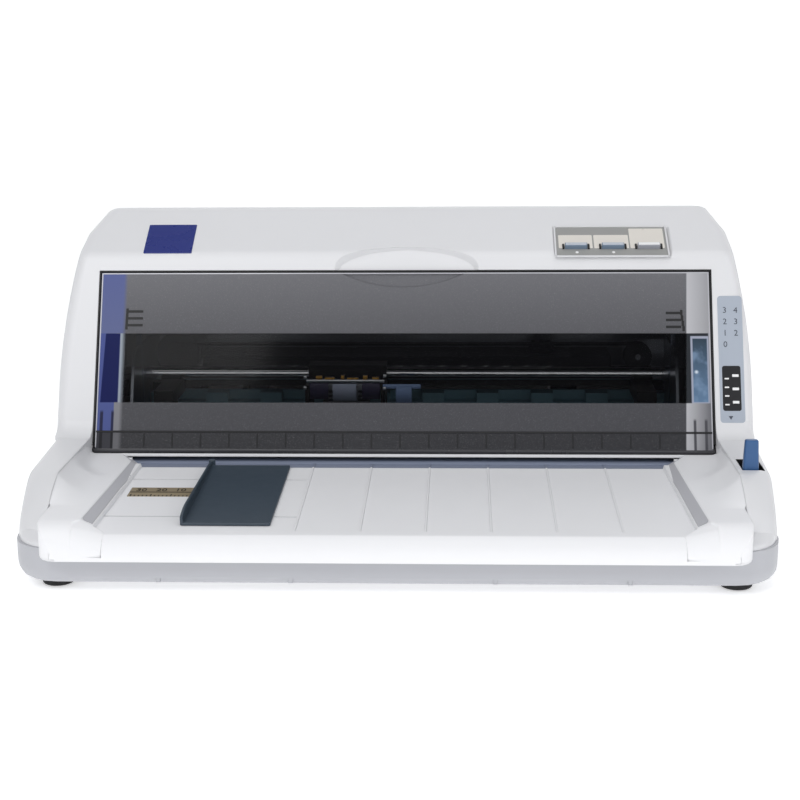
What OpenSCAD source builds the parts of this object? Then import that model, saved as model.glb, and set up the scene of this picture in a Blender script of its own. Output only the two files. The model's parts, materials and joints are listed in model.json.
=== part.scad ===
// Flatbed dot matrix printer: housings, opening front cover, paper table and the whole print mechanism.
// X runs to the right, Y to the back and Z up. The origin is the centre of the footprint, under the feet.

/* [Body] */
// Width of the housing at its widest
body_w = 480; // [460:1:500]
// Depth from the table's front lip to the rear wall
body_d = 370; // [360:1:385]
// Height of the roof's crest above the feet's soles
body_h = 206; // [200:1:216]
// Wall of the moulded housings
wall = 2.6; // [2:0.1:3.2]
// Height of the rubber feet below the floor
foot_h = 5; // [4:0.5:7]
// Height of the seam between the two housings
seam_z = 28.5; // [27.5:0.5:29.5]

/* [Front] */
// Tilt of the window face from the horizontal
face_deg = 66.75; // [65:0.25:68]
// Y of the window's lower edge
win_y = -34.2; // [-36:0.1:-33]
// Z of the window's lower edge
win_z = 48.9; // [48.5:0.1:50]
// Width of the window recess
win_w = 426.4; // [420:0.2:430]
// Band of the window face left above the cover
win_band = 11.65; // [10.5:0.05:13]
// Rise from the control face's lower edge to the roof's crest
crest_rise = 27.5; // [26:0.5:28.5]
// Tilt of the control face from the horizontal
control_deg = 31; // [29:0.5:33]
// Fall of the roof towards the back
roof_deg = 7; // [5:0.5:9]

/* [Arms and table] */
// Width across the two front arms at their front
arms_w = 464; // [460:1:466]
// Height of the arms' shoulders
arm_z = 60; // [58:0.5:62]
// Width of the paper table unit
table_w = 424; // [420:1:425]
// Width of the table's flat bed at its front
bed_w = 361; // [356:1:364]
// Z of the bed at its rear edge
bed_z = 43.8; // [43.6:0.1:44]
// Tilt of the bed
bed_deg = 2.5; // [2:0.1:2.8]
// Distance between the bed's ribs
rib_pitch = 39.1; // [37:0.1:40]

/* [Cover] */
// Thickness of the cover's sheet
cover_t = 2.5; // [2:0.1:3]
// Gap around the cover
cover_gap = 0.5; // [0.4:0.1:0.8]
// Radius of the hinge bead along the lower edge
bead_r = 2.25; // [2.1:0.05:2.4]
// Radius of the hinge pins
pin_r = 1.5; // [1.2:0.1:1.7]

/* [Mechanism] */
// Distance between the side frames' inner faces
frame_in = 378; // [376:1:380]
// Sheet thickness of the side frames
plate = 2; // [1.5:0.1:2.5]
// Z of the paper over the platen
paper_z = 43.6; // [43.4:0.1:43.8]
// Radius of the platen
platen_r = 13; // [12:0.5:13.5]
// Y of the platen's axis
platen_y = 20; // [19:0.5:21]
// Radius of the platen's steel shaft
shaft_r = 4; // [3.5:0.1:4.5]
// Y of the carriage guide shaft
guide_y = 38; // [37.5:0.5:39]
// Z of the carriage guide shaft
guide_z = 90; // [89:0.5:91]
// Radius of the carriage guide shaft
guide_r = 5; // [4:0.1:5.2]
// X of the carriage's centre at rest
carriage_x = -41; // [-60:1:-30]
// Width of the carriage
carriage_w = 56; // [52:1:60]
// Radius of the paper feed rollers
roller_r = 8; // [7.5:0.1:8.2]
// Radius of the pinch rollers
pinch_r = 6; // [5.5:0.1:6.2]
// Radial clearance of shafts in their bores
fit = 0.06; // [0.04:0.01:0.09]

/* [Hidden] */
$fn = 40;

// Gap between flat neighbours that pass each other
gap = 0.3;
// Overlap that keeps cuts clean
cut = 1;

// Housing
half_w = body_w / 2;
front_y = -body_d / 2;
rear_y = body_d / 2;
seat_z = foot_h + 3;
control_z = body_h - crest_rise;
win_h = (control_z - win_z) / sin(face_deg) - win_band;
control_y = win_y + (control_z - win_z) / tan(face_deg);
crest_r = 16;
crest_line_z = body_h - crest_r * (1 - cos(control_deg));
crest_line_y = control_y + (crest_line_z - control_z) / tan(control_deg);
crest_y = crest_line_y + crest_r * sin(control_deg);
bend_r = 14;
roof_back_y = rear_y - 63;
roof_back_z = body_h - (roof_back_y - crest_y) * tan(roof_deg);
rear_break_z = 100;
top_r = 14;
side_lean = 0.0013;
lean_from_z = 90;
lower_front_y = front_y + 10;
ledge_depth = 9;
ledge_in_w = win_w - 34;

// Arms and table
arm_front_y = front_y + 22;
arm_lean = 40;
arm_in_x = table_w / 2 + 1;
arm_side_y = front_y + 38;
arm_back_y = -12;
arm_taper = (half_w - 0.4 - arms_w / 2) / (arm_back_y - arm_side_y);
bed_rear_y = -51;
bed_front_y = front_y + 12;
border_h = 2.6;
nose_r = 21.5;
nose_h = 16.5;
bed_taper = 5.5;
bed_flare = 9;
rib_count = 6;
rib_first_x = -1.5 * rib_pitch;

// Cover
cover_w = win_w - 2 * cover_gap;
cover_h = win_h - 2 * cover_gap;
bead_s = cover_gap + bead_r;

// Mechanism
frame_out_x = frame_in / 2 + plate;
frame_front_y = -24;
frame_back_y = rear_y - 17;
platen_z = paper_z - platen_r;
roller_z = paper_z - roller_r;
gear_mod = 1;
platen_teeth = 36;
small_teeth = 14;
large_teeth = 42;
pinion_teeth = 12;
roller_teeth = 20;
gear_w = 5;
gear_x = -frame_out_x - 13;
gear_gap = 1.5;
large_gear_x = gear_x - gear_w - gear_gap;
gear_x_end = large_gear_x - 1;
reduction_y = platen_y + gear_mod * (platen_teeth + small_teeth) / 2;
pinion_reach = gear_mod * (large_teeth + pinion_teeth) / 2;
pinion_drop = 8;
pinion_y = reduction_y + sqrt(pinion_reach * pinion_reach - pinion_drop * pinion_drop);
pinion_z = platen_z - pinion_drop;
rear_reach = gear_mod * (small_teeth + roller_teeth) / 2;
rear_roller_y = reduction_y + sqrt(rear_reach * rear_reach - (roller_z - platen_z) * (roller_z - platen_z));
front_roller_y = -14;
idler_teeth = 12;
pinch_z = paper_z + 0.5 + pinch_r;
belt_y = 50;
belt_z = 100;
belt_r = 8;
belt_t = 1.4;
pulley_x = frame_in / 2 - 21;
tractor_y = rear_y - 35;
tractor_z = 48;
tractor_r = 12;
tractor_x = 120;
tractor_front_y = tractor_y - 38;
support_y = tractor_y - 26;
support_z = 50;

function line_z(y, y0, z0, a) = z0 + (y - y0) * tan(a);
function bed_top(y) = line_z(y, bed_rear_y, bed_z, bed_deg);

// Point on a circle
function around(c, r, a) = [c[0] + r * cos(a), c[1] + r * sin(a)];

// Points of a corner p between its neighbours a and b, rounded with radius r in n steps
function corner(a, p, b, r, n) =
  let (u = (a - p) / norm(a - p), v = (b - p) / norm(b - p))
  let (h = acos(u * v) / 2, c = p + (u + v) / norm(u + v) * r / sin(h))
  let (s = p + u * r / tan(h) - c, e = p + v * r / tan(h) - c)
  let (a0 = atan2(s[1], s[0]), turn = atan2(s[0] * e[1] - s[1] * e[0], s * e))
  [for (i = [0 : n]) around(c, r, a0 + turn * i / n)];

// Closed outline whose corners are rounded with the radii in rs
function rounded(pts, rs, n) =
  let (m = len(pts))
  [for (i = [0 : m - 1]) each corner(pts[(i + m - 1) % m], pts[i], pts[(i + 1) % m], rs[i], n)];

// Outline raised to the height z
function at_z(pts, z) = [for (p = pts) [p[0], p[1], z]];

// Y of the front face at height z: the window face, a bend, the control face and the crest
side_level_z = rear_break_z - 8;
front_line = concat(
  [[seam_z, win_y + (seam_z - win_z) / tan(face_deg)]],
  [for (k = [0, 0.0925, 0.185, 0.3237, 0.4971, 0.6705, 0.8208])
    let (z = side_level_z + k * (control_z - side_level_z))
    [z, win_y + (z - win_z) / tan(face_deg)]],
  [for (p = corner([win_y, win_z], [control_y, control_z], [crest_line_y, crest_line_z], bend_r, 4))
    [p[1], p[0]]],
  [[control_z + 0.4182 * crest_rise, control_y + 0.4182 * crest_rise / tan(control_deg)]],
  [for (i = [0 : 5])
    let (a = control_deg * (1 - i / 5) + 3 * i / 5)
    [body_h - crest_r * (1 - cos(a)), crest_y - crest_r * sin(a)]]
);
// Y of the rear face at height z: the upright rear wall, the rear slope and the falling roof
rear_line = concat(
  [[seam_z, rear_y]],
  [for (p = corner([rear_y, seam_z], [rear_y, rear_break_z],
    [roof_back_y, roof_back_z], 30, 4)) [p[1], p[0]]],
  [for (p = corner([rear_y, rear_break_z], [roof_back_y, roof_back_z],
    [crest_y, body_h], 12, 4)) [p[1], p[0]]],
  [[body_h - crest_r * (1 - cos(roof_deg)), crest_y + crest_r * sin(roof_deg)]],
  [[body_h - crest_r * (1 - cos(3)), crest_y + crest_r * sin(3)]]
);
hood_levels = [for (p = front_line) p[0]];

function front_at(z) = lookup(z, front_line);
function rear_at(z) = lookup(z, rear_line);

// Half width of the hood at height z: upright, then leaning in, then rounded into the roof
function half_at(z) =
  let (lean = side_lean * pow(max(0, z - lean_from_z), 2), up = z - (body_h - top_r))
  half_w - lean - (up > 0 ? top_r - sqrt(max(0, top_r * top_r - up * up)) : 0);

// Outline of the hood at height z, drawn in by g
function hood_outline(z, g) =
  let (w = half_at(z) - g, f = front_at(z) + g, b = rear_at(z) - g)
  let (r = min(9, (b - f) * 0.45), rb = min(16, (b - f) * 0.45))
  rounded([[-w, f], [w, f], [w, b], [-w, b]], [r, r, rb, rb], 5);

// Front edge and outer side of an arm at height z
function arm_front(z) =
  let (t = min(1, (z - seam_z) / (arm_z - seam_z)), up = max(0, z - arm_z + 5))
  arm_front_y + arm_lean * pow(t, 1.6) + 5 - sqrt(max(0, 25 - up * up));
function arm_side(z, y) =
  let (up = max(0, z - arm_z + 5))
  arms_w / 2 + (y - arm_side_y) * arm_taper - (5 - sqrt(max(0, 25 - up * up)));

// Outline of the right arm at height z, drawn in by g, whose front edge is at Y f
function arm_outline(z, f, g) =
  let (b = arm_back_y, x0 = arm_in_x + g, x1 = arm_side(z, f) - g, x2 = arm_side(z, b) - g)
  rounded([[x0, f + g], [x1, f + g], [x2, b], [x0, b]], [0.5, x1 - x0 - 1, 0.5, 0.5], 6);

// Solid through outlines that all have the same number of points
module skin(rings) {
  n = len(rings[0]);
  m = len(rings);
  walls = [for (k = [0 : m - 2]) for (i = [0 : n - 1])
    let (j = (i + 1) % n, a = k * n + i, b = (k + 1) * n + i, c = (k + 1) * n + j, d = k * n + j)
    each [[a, b, c], [a, c, d]]];
  polyhedron(
    points = [for (r = rings) each r],
    faces = concat([[for (i = [0 : n - 1]) i]], walls, [[for (i = [n - 1 : -1 : 0]) (m - 1) * n + i]]));
}

// Local frames: X across, Y up the slope and Z out of the face
module on_window() {
  translate([0, win_y, win_z]) rotate([face_deg, 0, 0]) children();
}
module on_control() {
  translate([0, control_y, control_z]) rotate([control_deg, 0, 0]) children();
}
// Profile in Y and Z drawn across X from -w / 2 to w / 2
module across(w) {
  translate([-w / 2, 0, 0]) rotate([90, 0, 90]) linear_extrude(w) children();
}
// Cylinder along X from x0 to x1
module rod(x0, x1, y, z, r) {
  translate([x0, y, z]) rotate([0, 90, 0]) cylinder(h = x1 - x0, r = r);
}
// Box from its lowest to its highest corner
module block(a, b) {
  translate(a) cube(b - a);
}
module both_sides() {
  children();
  mirror([1, 0, 0]) children();
}
// Slot with round ends, cut along Z, from -l / 2 to l / 2 along X
module slot_cut(l, w, h) {
  hull() {
    translate([-l / 2, 0, 0]) cylinder(h = h, r = w / 2, center = true, $fn = 16);
    translate([l / 2, 0, 0]) cylinder(h = h, r = w / 2, center = true, $fn = 16);
  }
}

// ---------------------------------------------------------------- housings

arm_levels = [34, 40, 46, 51, for (i = [0 : 4]) arm_z - 5 + 5 * sin(i * 22.5)];
cheek_r = 10;
cheek_z = [-2, 0.35, 1.2, 3, 6, 9.8];

// Outline of the fillet that joins an arm's shoulder to the window face
function cheek_outline(z) =
  let (up = cheek_r - max(cheek_z[1], z - arm_z),
    f = front_at(z) - (cheek_r - sqrt(cheek_r * cheek_r - up * up)))
  rounded([[arm_in_x, f], [half_w - 1, f], [half_w - 0.4, arm_back_y], [arm_in_x, arm_back_y]],
    [1, 8, 0.3, 0.5], 5);

module hood_solid(g) {
  foot = [at_z(hood_outline(seam_z, g), seam_z - 5)];
  levels = [for (z = hood_levels) if (rear_at(z) - front_at(z) > (g > 0 ? 2 * g + 6 : 0)) z];
  skin(concat(g > 0 ? foot : [], [for (z = levels) at_z(hood_outline(z, g), z - g)]));
}

module arm_solid(g) {
  foot = [at_z(arm_outline(seam_z, arm_front(seam_z), g), seam_z - (g > 0 ? 5 : 0))];
  skin(concat(foot, [for (z = arm_levels) at_z(arm_outline(z, arm_front(z), g), z - g)]));
  if (g == 0) skin([for (k = cheek_z) at_z(cheek_outline(arm_z + k), arm_z + k)]);
}

// Frame of the window: a block behind the face that the recess and the opening are cut from
module window_frame() {
  intersection() {
    on_window() translate([-win_w / 2 - wall, -wall, -ledge_depth - wall])
      cube([win_w + 2 * wall, win_h + wall + 2, ledge_depth + 2 * wall]);
    hood_solid(0.4);
  }
}

// Recess for the cover, the opening behind it and the window for the paper thickness lever
module window_cuts() {
  on_window() {
    translate([-win_w / 2, 0, -ledge_depth]) cube([win_w, win_h, ledge_depth + 20]);
    translate([-ledge_in_w / 2, 9, -40]) cube([ledge_in_w, win_h - 15, 50]);
    translate([win_w / 2 - 14, 30, -ledge_depth - 2 * wall]) cube([12, 54, 20]);
  }
}

// Rests on the window's ledge that stop the closed cover
module cover_stops() {
  on_window() both_sides() translate([win_w / 2 - 8, win_h - 14, -ledge_depth - 1])
    cylinder(h = ledge_depth + 1 - cover_t - 0.1, r = 3, $fn = 24);
}

// Shallow finger scoop across the crest above the window, and the wall behind it
module at_scoop() {
  on_window() translate([2.5, win_h - 1, 0]) rotate([-15.2, 0, 0]) children();
}
module scoop() {
  at_scoop() translate([0, 0, -1.6]) scale([1, 0.375, 1]) cylinder(h = 8, r1 = 48, r2 = 57, $fn = 72);
}
module scoop_back() {
  intersection() {
    at_scoop() translate([-59, -6, -4.4]) cube([118, 31, 3.5]);
    hood_solid(0.4);
  }
}

panel_x = 146;
panel_w = 77;
panel_low = -1;
panel_high = 28;
panel_deep = 2.6;
button_xs = [120.3, 146.1, 171];
button_w = 17;
button_h = 5.4;
button_low = 2.2;

// Box behind the control face that carries the panel
module panel_box() {
  intersection() {
    on_control() translate([panel_x - panel_w / 2 - 6, panel_low - 2, -panel_deep - 2.4])
      cube([panel_w + 12, panel_high - panel_low + 9, panel_deep + 6]);
    hood_solid(0.4);
  }
}

// Bevelled recess for the panel, with holes for the button stems
module panel_cuts() {
  on_control() {
    hull() {
      translate([panel_x - panel_w / 2 - 0.2, panel_low - 0.2, -panel_deep])
        cube([panel_w + 0.4, panel_high - panel_low + 0.4, 0.1]);
      translate([panel_x - panel_w / 2 - 3.6, panel_low - 3, 1])
        cube([panel_w + 7.2, panel_high - panel_low + 6, 2]);
    }
    for (x = button_xs)
      translate([x - 5, button_low + 0.7, -12]) cube([10, 4, 14]);
  }
}

lever_x = half_w - 16.5;
lever_slot_w = 14;
lever_slot_y0 = front_y + 75;
lever_slot_y1 = lever_slot_y0 + 26;

module lever_slot() {
  block([lever_x - lever_slot_w / 2, lever_slot_y0, arm_z - 12],
    [lever_x + lever_slot_w / 2, lever_slot_y1, arm_z + 5]);
}

vent_count = 14;
vent_pitch = 17;
vent_l = 34;
vent_w = 4;

// Cooling slots in the rear slope
module rear_vents() {
  a = atan2(roof_back_z - rear_break_z, rear_y - roof_back_y);
  for (i = [0 : vent_count - 1])
    translate([(i - (vent_count - 1) / 2) * vent_pitch, (rear_y + roof_back_y) / 2,
      (rear_break_z + roof_back_z) / 2])
      rotate([0, 0, 90]) rotate([0, a, 0]) slot_cut(vent_l, vent_w, 20);
}

flap_w = 290;
flap_z0 = 54;
flap_z1 = 97;
knob_r = 15;
switch_y = rear_y - 55;
switch_z = 60;
switch_l = 22;
switch_h = 13;
inlet_x = -186;
inlet_w = 28;
inlet_h = 20;
inlet_z = 31;
port_x = 156;
port_w = 72;
port_h = 15;
port_z = 29.3;
usb_x = 104;
usb_w = 12;
usb_h = 11;

module rear_cuts() {
  block([-flap_w / 2 - gap, rear_y - 12, flap_z0 - 5], [flap_w / 2 + gap, rear_y + 5, flap_z1 + gap]);
  block([inlet_x - inlet_w / 2 - gap, rear_y - 12, inlet_z],
    [inlet_x + inlet_w / 2 + gap, rear_y + 5, inlet_z + inlet_h]);
  block([port_x - port_w / 2 - gap, rear_y - 12, seam_z - 1],
    [port_x + port_w / 2 + gap, rear_y + 5, port_z + port_h]);
  block([usb_x - usb_w / 2 - gap, rear_y - 12, seam_z - 1],
    [usb_x + usb_w / 2 + gap, rear_y + 5, port_z + usb_h]);
  block([-half_w - 5, switch_y - switch_l / 2 - gap, switch_z - switch_h / 2 - gap],
    [-half_w + 12, switch_y + switch_l / 2 + gap, switch_z + switch_h / 2 + gap]);
}

module knob_hole() {
  rod(half_w - 12, half_w + 5, platen_y, platen_z, knob_r + 2);
}

module upper_housing() {
  color([0.92, 0.92, 0.93]) difference() {
    union() {
      difference() {
        union() {
          hood_solid(0);
          both_sides() arm_solid(0);
        }
        hood_solid(wall);
        both_sides() arm_solid(wall);
      }
      window_frame();
      scoop_back();
      panel_box();
      screw_bosses(seam_z, 50);
    }
    window_cuts();
    hinge_block_seats();
    flap_block_shape(0.02);
    scoop();
    panel_cuts();
    lever_slot();
    rear_vents();
    rear_cuts();
    knob_hole();
    block([-arm_in_x, win_y - 16, seam_z - 6], [arm_in_x, win_y + 20, paper_mouth_z]);
    both_sides() for (y = boss_ys) translate([boss_x, y, seam_z - 1]) cylinder(h = 22, r = screw_r,
      $fn = 16);
  }
  color([0.92, 0.92, 0.93]) cover_stops();
}

paper_mouth_w = 368;
paper_mouth_z = win_z - 2;
table_back_y = -38;
boss_x = half_w - 16;
boss_ys = [-60, rear_y - 20];
screw_r = 1.6;

// Posts that take the screws which hold the two housings together
module screw_bosses(z0, z1) {
  both_sides() for (y = boss_ys) {
    translate([boss_x, y, z0]) cylinder(h = z1 - z0, r = 4.5, $fn = 24);
    block([boss_x + 3, y - 1, z0], [boss_x + (y < 0 ? 12 : 15), y + 1, z1]);
  }
}

lower_levels = [[foot_h, 7], [foot_h + 1, 4.4], [foot_h + 3, 2], [foot_h + 6, 0.6], [foot_h + 10, 0],
  [seam_z, 0]];

// Outline of the lower housing drawn in by g
function lower_outline(g) =
  let (w = arms_w / 2 - 1 - g, h = half_w - g, f = lower_front_y + g, b = rear_y - g)
  rounded([[-w, f], [w, f], [h, -25], [h, b], [-h, b], [-h, -25]],
    [28 - g, 28 - g, 60, 16 - g, 16 - g, 60], 5);

module lower_housing() {
  color([0.72, 0.72, 0.75]) difference() {
    union() {
      difference() {
        skin([for (l = lower_levels) at_z(lower_outline(l[1]), l[0])]);
        skin(concat(
          [for (l = lower_levels) at_z(lower_outline(l[1] + wall), l[0] + 3)],
          [at_z(lower_outline(wall), seam_z + 5)]));
      }
      screw_bosses(seat_z - 1, seam_z);
      both_sides() for (x = [60, 140]) translate([x, lower_front_y + 1, seat_z - 1]) cube([wall, 40, 12]);
    }
    knob_hole();
    for (i = [-2 : 2]) for (y = [40, 90])
      translate([i * 62, y, foot_h]) slot_cut(40, 4, 20);
    both_sides() for (y = boss_ys) translate([boss_x, y, foot_h - 1]) cylinder(h = 30, r = screw_r,
      $fn = 16);
    both_sides() for (y = foot_ys) translate([foot_x, y, foot_h - 1]) cylinder(h = 2, r = foot_r - 2,
      $fn = 32);
  }
}

foot_x = half_w - 33;
foot_ys = [front_y + 31, rear_y - 30];
foot_r = 10;

module rubber_feet() {
  color([0.2, 0.2, 0.21]) both_sides() for (y = foot_ys) translate([foot_x, y, 0]) {
    cylinder(h = foot_h, r = foot_r);
    translate([0, 0, foot_h]) cylinder(h = 1, r = foot_r - 2 - 0.05);
  }
}

module housing_screws() {
  color([0.7, 0.7, 0.72]) both_sides() for (y = boss_ys) translate([boss_x, y, foot_h - 1.6]) {
    difference() {
      cylinder(h = 1.6, r = 3);
      translate([0, 0, -cut]) cylinder(h = 1 + cut, r = 1.4, $fn = 6);
    }
    cylinder(h = 38, r = screw_r - 0.1);
  }
}

// ---------------------------------------------------------------- paper table

// Side profile of the table unit drawn in by g: bed line, nose and front lip
function table_profile(g) =
  let (x0 = front_y + nose_r, top = bed_top(x0) + border_h, low = 23.5)
  concat(
    [[table_back_y - g, low - (g > 0 ? 1 : 0)], [table_back_y - g, bed_top(table_back_y) + border_h - g]],
    [for (i = [0 : 8]) let (a = 90 + i * 90 / 8)
      [x0 + (nose_r - g) * cos(a), top - nose_h + (nose_h - g) * sin(a)]],
    [[front_y + g, low - (g > 0 ? 1 : 0)]]);

module table_plan(g) {
  w = table_w / 2 - g;
  polygon(rounded([[-w, front_y + g], [w, front_y + g], [w, table_back_y], [-w, table_back_y]],
    [12, 12, 1, 1], 4));
}

// Bed of the table: a flat floor whose side walls slope outwards
module bed_cut() {
  y0 = front_y - 5;
  y1 = bed_rear_y;
  hull() {
    for (k = [[-0.5, -0.15], [bed_flare * 2, border_h * 2]]) for (p = [[y0, bed_w / 2],
      [y1, bed_w / 2 - bed_taper]])
      both_sides() translate([p[1] + k[1] - 0.1, p[0], bed_top(p[0]) + k[0]]) cube(0.1);
  }
}

guide_slot_ys = [front_y + 39, bed_rear_y - 25];
guide_slot_x0 = -179;
guide_slot_x1 = -60;

module front_table() {
  color([0.86, 0.86, 0.87]) {
    difference() {
      intersection() {
        across(table_w) polygon(table_profile(0));
        linear_extrude(80) table_plan(0);
      }
      intersection() {
        across(table_w - 2 * wall) polygon(table_profile(wall + 0.3));
        linear_extrude(80) table_plan(wall);
      }
      bed_cut();
      block([-paper_mouth_w / 2, bed_rear_y, 0], [paper_mouth_w / 2, 0, 80]);
      block([-half_w, lower_front_y - gap, 0], [half_w, 0, seam_z]);
      for (y = guide_slot_ys) block([guide_slot_x0, y - 0.8, 0], [guide_slot_x1, y + 0.8, 80]);
    }
    intersection() {
      union() {
        difference() {
          bed_slab(bed_w + 14, wall);
          for (y = guide_slot_ys) block([guide_slot_x0, y - 0.8, 0], [guide_slot_x1, y + 0.8, 80]);
        }
        for (i = [0 : rib_count - 1]) translate([rib_first_x + i * rib_pitch, 0, 0]) bed_rib();
      }
      across(table_w) polygon(table_profile(0.02));
    }
    for (x = [-205, -20 - rib_pitch, 20 + rib_pitch, 203])
      block([x, lower_front_y, seam_z], [x + 2, -60, bed_top(lower_front_y) - 1.5]);
  }
}

// Floor of the bed, t thick under its top surface
module bed_slab(w, t) {
  across(w) polygon([
    [front_y + 4, bed_top(front_y + 4)], [bed_rear_y, bed_top(bed_rear_y)],
    [bed_rear_y, bed_top(bed_rear_y) - t], [front_y + 4, bed_top(front_y + 4) - t]]);
}

// Low rib along the bed that the paper slides on
module bed_rib() {
  across(1.2) polygon([
    [bed_front_y, bed_top(bed_front_y) - 1], [bed_front_y + 3, bed_top(bed_front_y + 3) + 0.5],
    [bed_rear_y, bed_top(bed_rear_y) + 0.5], [bed_rear_y, bed_top(bed_rear_y) - 1]]);
}

inlet_back_y = -24;

// Blue-grey guide that leads the paper under the window bar to the feed rollers
module paper_inlet_guide() {
  color([0.45, 0.48, 0.56]) {
    difference() {
      across(paper_mouth_w - 1) polygon([
        [bed_rear_y + gap, bed_z - 0.2], [inlet_back_y, bed_z - 1.4], [inlet_back_y, bed_z - 3.2],
          [bed_rear_y + gap, bed_z - 3]]);
      both_sides() translate([bed_w / 2 - bed_taper, bed_rear_y, 0]) rotate([0, 0, -60]) cube([40, 60, 80]);
    }
    for (i = [0 : rib_count - 1]) translate([rib_first_x + i * rib_pitch, 0, 0])
      across(1.2) polygon([
        [bed_rear_y + gap, bed_z + 0.3], [inlet_back_y, bed_z - 0.9], [inlet_back_y, bed_z - 2],
          [bed_rear_y + gap, bed_z - 1]]);
  }
}

guide_x0 = -131;
guide_x1 = -74;
guide_y0 = front_y + 20;
guide_y1 = bed_rear_y + 2;

// Paper edge guide: a thin plate with a raised fence on its left, held by two feet in the table's slots
module edge_guide() {
  color([0.23, 0.28, 0.33]) {
    translate([guide_x0, 0, 0]) rotate([90, 0, 90]) linear_extrude(guide_x1 - guide_x0)
      polygon([
        [guide_y0, bed_top(guide_y0) + 0.25], [guide_y0, bed_top(guide_y0) + 1],
        [guide_y0 + 2, bed_top(guide_y0 + 2) + 1.9], [guide_y1, bed_top(guide_y1) + 1.9],
        [guide_y1, bed_top(guide_y1) + 0.25]]);
    intersection() {
      translate([guide_x0, 0, 0]) rotate([90, 0, 90]) linear_extrude(16)
        polygon([
          [guide_y0 + 1, bed_top(guide_y0) + 0.6], [guide_y0 + 16, bed_top(guide_y0) + 6],
          [guide_y1 - 6, bed_top(guide_y1) + 6], [guide_y1, bed_top(guide_y1) + 3],
            [guide_y1, bed_top(guide_y1) + 0.6]]);
      linear_extrude(80) difference() {
        polygon(rounded(
          [[guide_x0, guide_y1], [guide_x0, guide_y0 + 26], [guide_x0 + 14, guide_y0 + 1],
            [guide_x0 + 15.9, guide_y0 + 1],
            [guide_x0 + 15.9, guide_y1]],
          [0.2, 22, 0.5, 0.3, 0.3], 5));
        polygon(rounded(
          [[guide_x0 + 2.2, guide_y1 + 1], [guide_x0 + 2.2, guide_y0 + 27], [guide_x0 + 15, guide_y0 + 4],
            [guide_x0 + 18, guide_y0 + 4], [guide_x0 + 18, guide_y1 + 1]],
          [0.2, 20, 0.5, 0.3, 0.3], 5));
      }
    }
    for (y = guide_slot_ys) {
      block([guide_x0 + 8, y - 0.6, bed_top(y) - wall - 0.5], [guide_x0 + 22, y + 0.6, bed_top(y) + 0.6]);
      block([guide_x0 + 8, y - 3, bed_top(y) - wall - 1.8],
        [guide_x0 + 22, y + 3, bed_top(y) - wall - 0.4]);
    }
  }
}

// ---------------------------------------------------------------- cover, levers and controls

grip_half_w = 46;
grip_drop = 11.5;
grip_r = (grip_half_w * grip_half_w + grip_drop * grip_drop) / (2 * grip_drop);

module printer_cover() {
  color([0.42, 0.42, 0.44, 0.75]) on_window() {
    difference() {
      translate([-cover_w / 2, bead_s, -cover_t]) cube([cover_w, cover_h - bead_s + cover_gap, cover_t]);
      translate([0, cover_h + cover_gap - grip_drop + grip_r, 0]) {
        translate([0, 0, -1.4]) cylinder(h = 1.5, r1 = grip_r - 3, r2 = grip_r + 0.2, $fn = 160);
      }
    }
    both_sides() translate([cover_w / 2 - 1.5, bead_s + 8, -cover_t - 2]) cube([1.5,
      cover_h - bead_s - 8, 2]);
    translate([-cover_w / 2, cover_h + cover_gap - 1.5, -cover_t - 2]) cube([cover_w, 1.5, 2]);
    translate([-cover_w / 2, bead_s, -bead_r]) rotate([0, 90, 0]) cylinder(h = cover_w, r = bead_r);
    both_sides() translate([cover_w / 2 - cut, bead_s, -bead_r]) rotate([0, 90, 0])
      cylinder(h = cover_gap + 4 + cut, r = pin_r);
  }
}

module hinge_block_shape(grow) {
  both_sides() translate([win_w / 2, bead_s - 3.5 - grow, -bead_r - 3.5 - grow])
    cube([5 + grow, 7 + 2 * grow, 7 + 2 * grow]);
}
module hinge_block_seats() {
  on_window() hinge_block_shape(0.02);
}
module hinge_blocks() {
  color([0.85, 0.85, 0.86]) on_window() difference() {
    intersection() {
      hinge_block_shape(0);
      translate([-300, -5, -20]) cube([600, 20, 20 - 0.2]);
    }
    both_sides() translate([win_w / 2 - cut, bead_s, -bead_r]) rotate([0, 90, 0])
      cylinder(h = 4.4 + cut, r = pin_r + fit);
  }
  color([0.85, 0.85, 0.86]) difference() {
    flap_block_shape(0);
    both_sides() rod(flap_w / 2, flap_w / 2 + gap + 4.4, flap_y + 0.6, flap_z0, pin_r + fit);
  }
}

module flap_block_shape(grow) {
  both_sides() block(
    [flap_w / 2 + gap, flap_y - 4 - grow, flap_z0 - 3.5 - grow],
    [flap_w / 2 + gap + 5 + grow, rear_y - 0.3 + 10 * grow, flap_z0 + 3.5 + grow]);
}

module control_panel() {
  color([0.6, 0.6, 0.58]) on_control() difference() {
    translate([panel_x - panel_w / 2, panel_low, -panel_deep]) cube([panel_w, panel_high - panel_low, 1.4]);
    for (x = button_xs)
      translate([x - button_w / 2 - 0.3, button_low - 0.3, -panel_deep - 1]) cube([button_w + 0.6,
        button_h + 0.6, 4]);
  }
}

button_travel = 0.9;

// Push button: a bar-shaped cap on a stem that reaches to the switch on the board
module panel_button(x) {
  on_control() {
    translate([x - button_w / 2, button_low, -panel_deep + button_travel + 0.1]) cube([button_w,
      button_h, 2.4]);
    translate([x - 4.7, button_low + 1, -8]) cube([9.4, button_h - 2, 8 - panel_deep + button_travel + 1]);
  }
}
module feed_button() { color([0.48, 0.55, 0.65]) panel_button(button_xs[0]); }
module load_button() { color([0.48, 0.55, 0.65]) panel_button(button_xs[1]); }
module pause_button() { color([0.66, 0.67, 0.7]) panel_button(button_xs[2]); }

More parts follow.
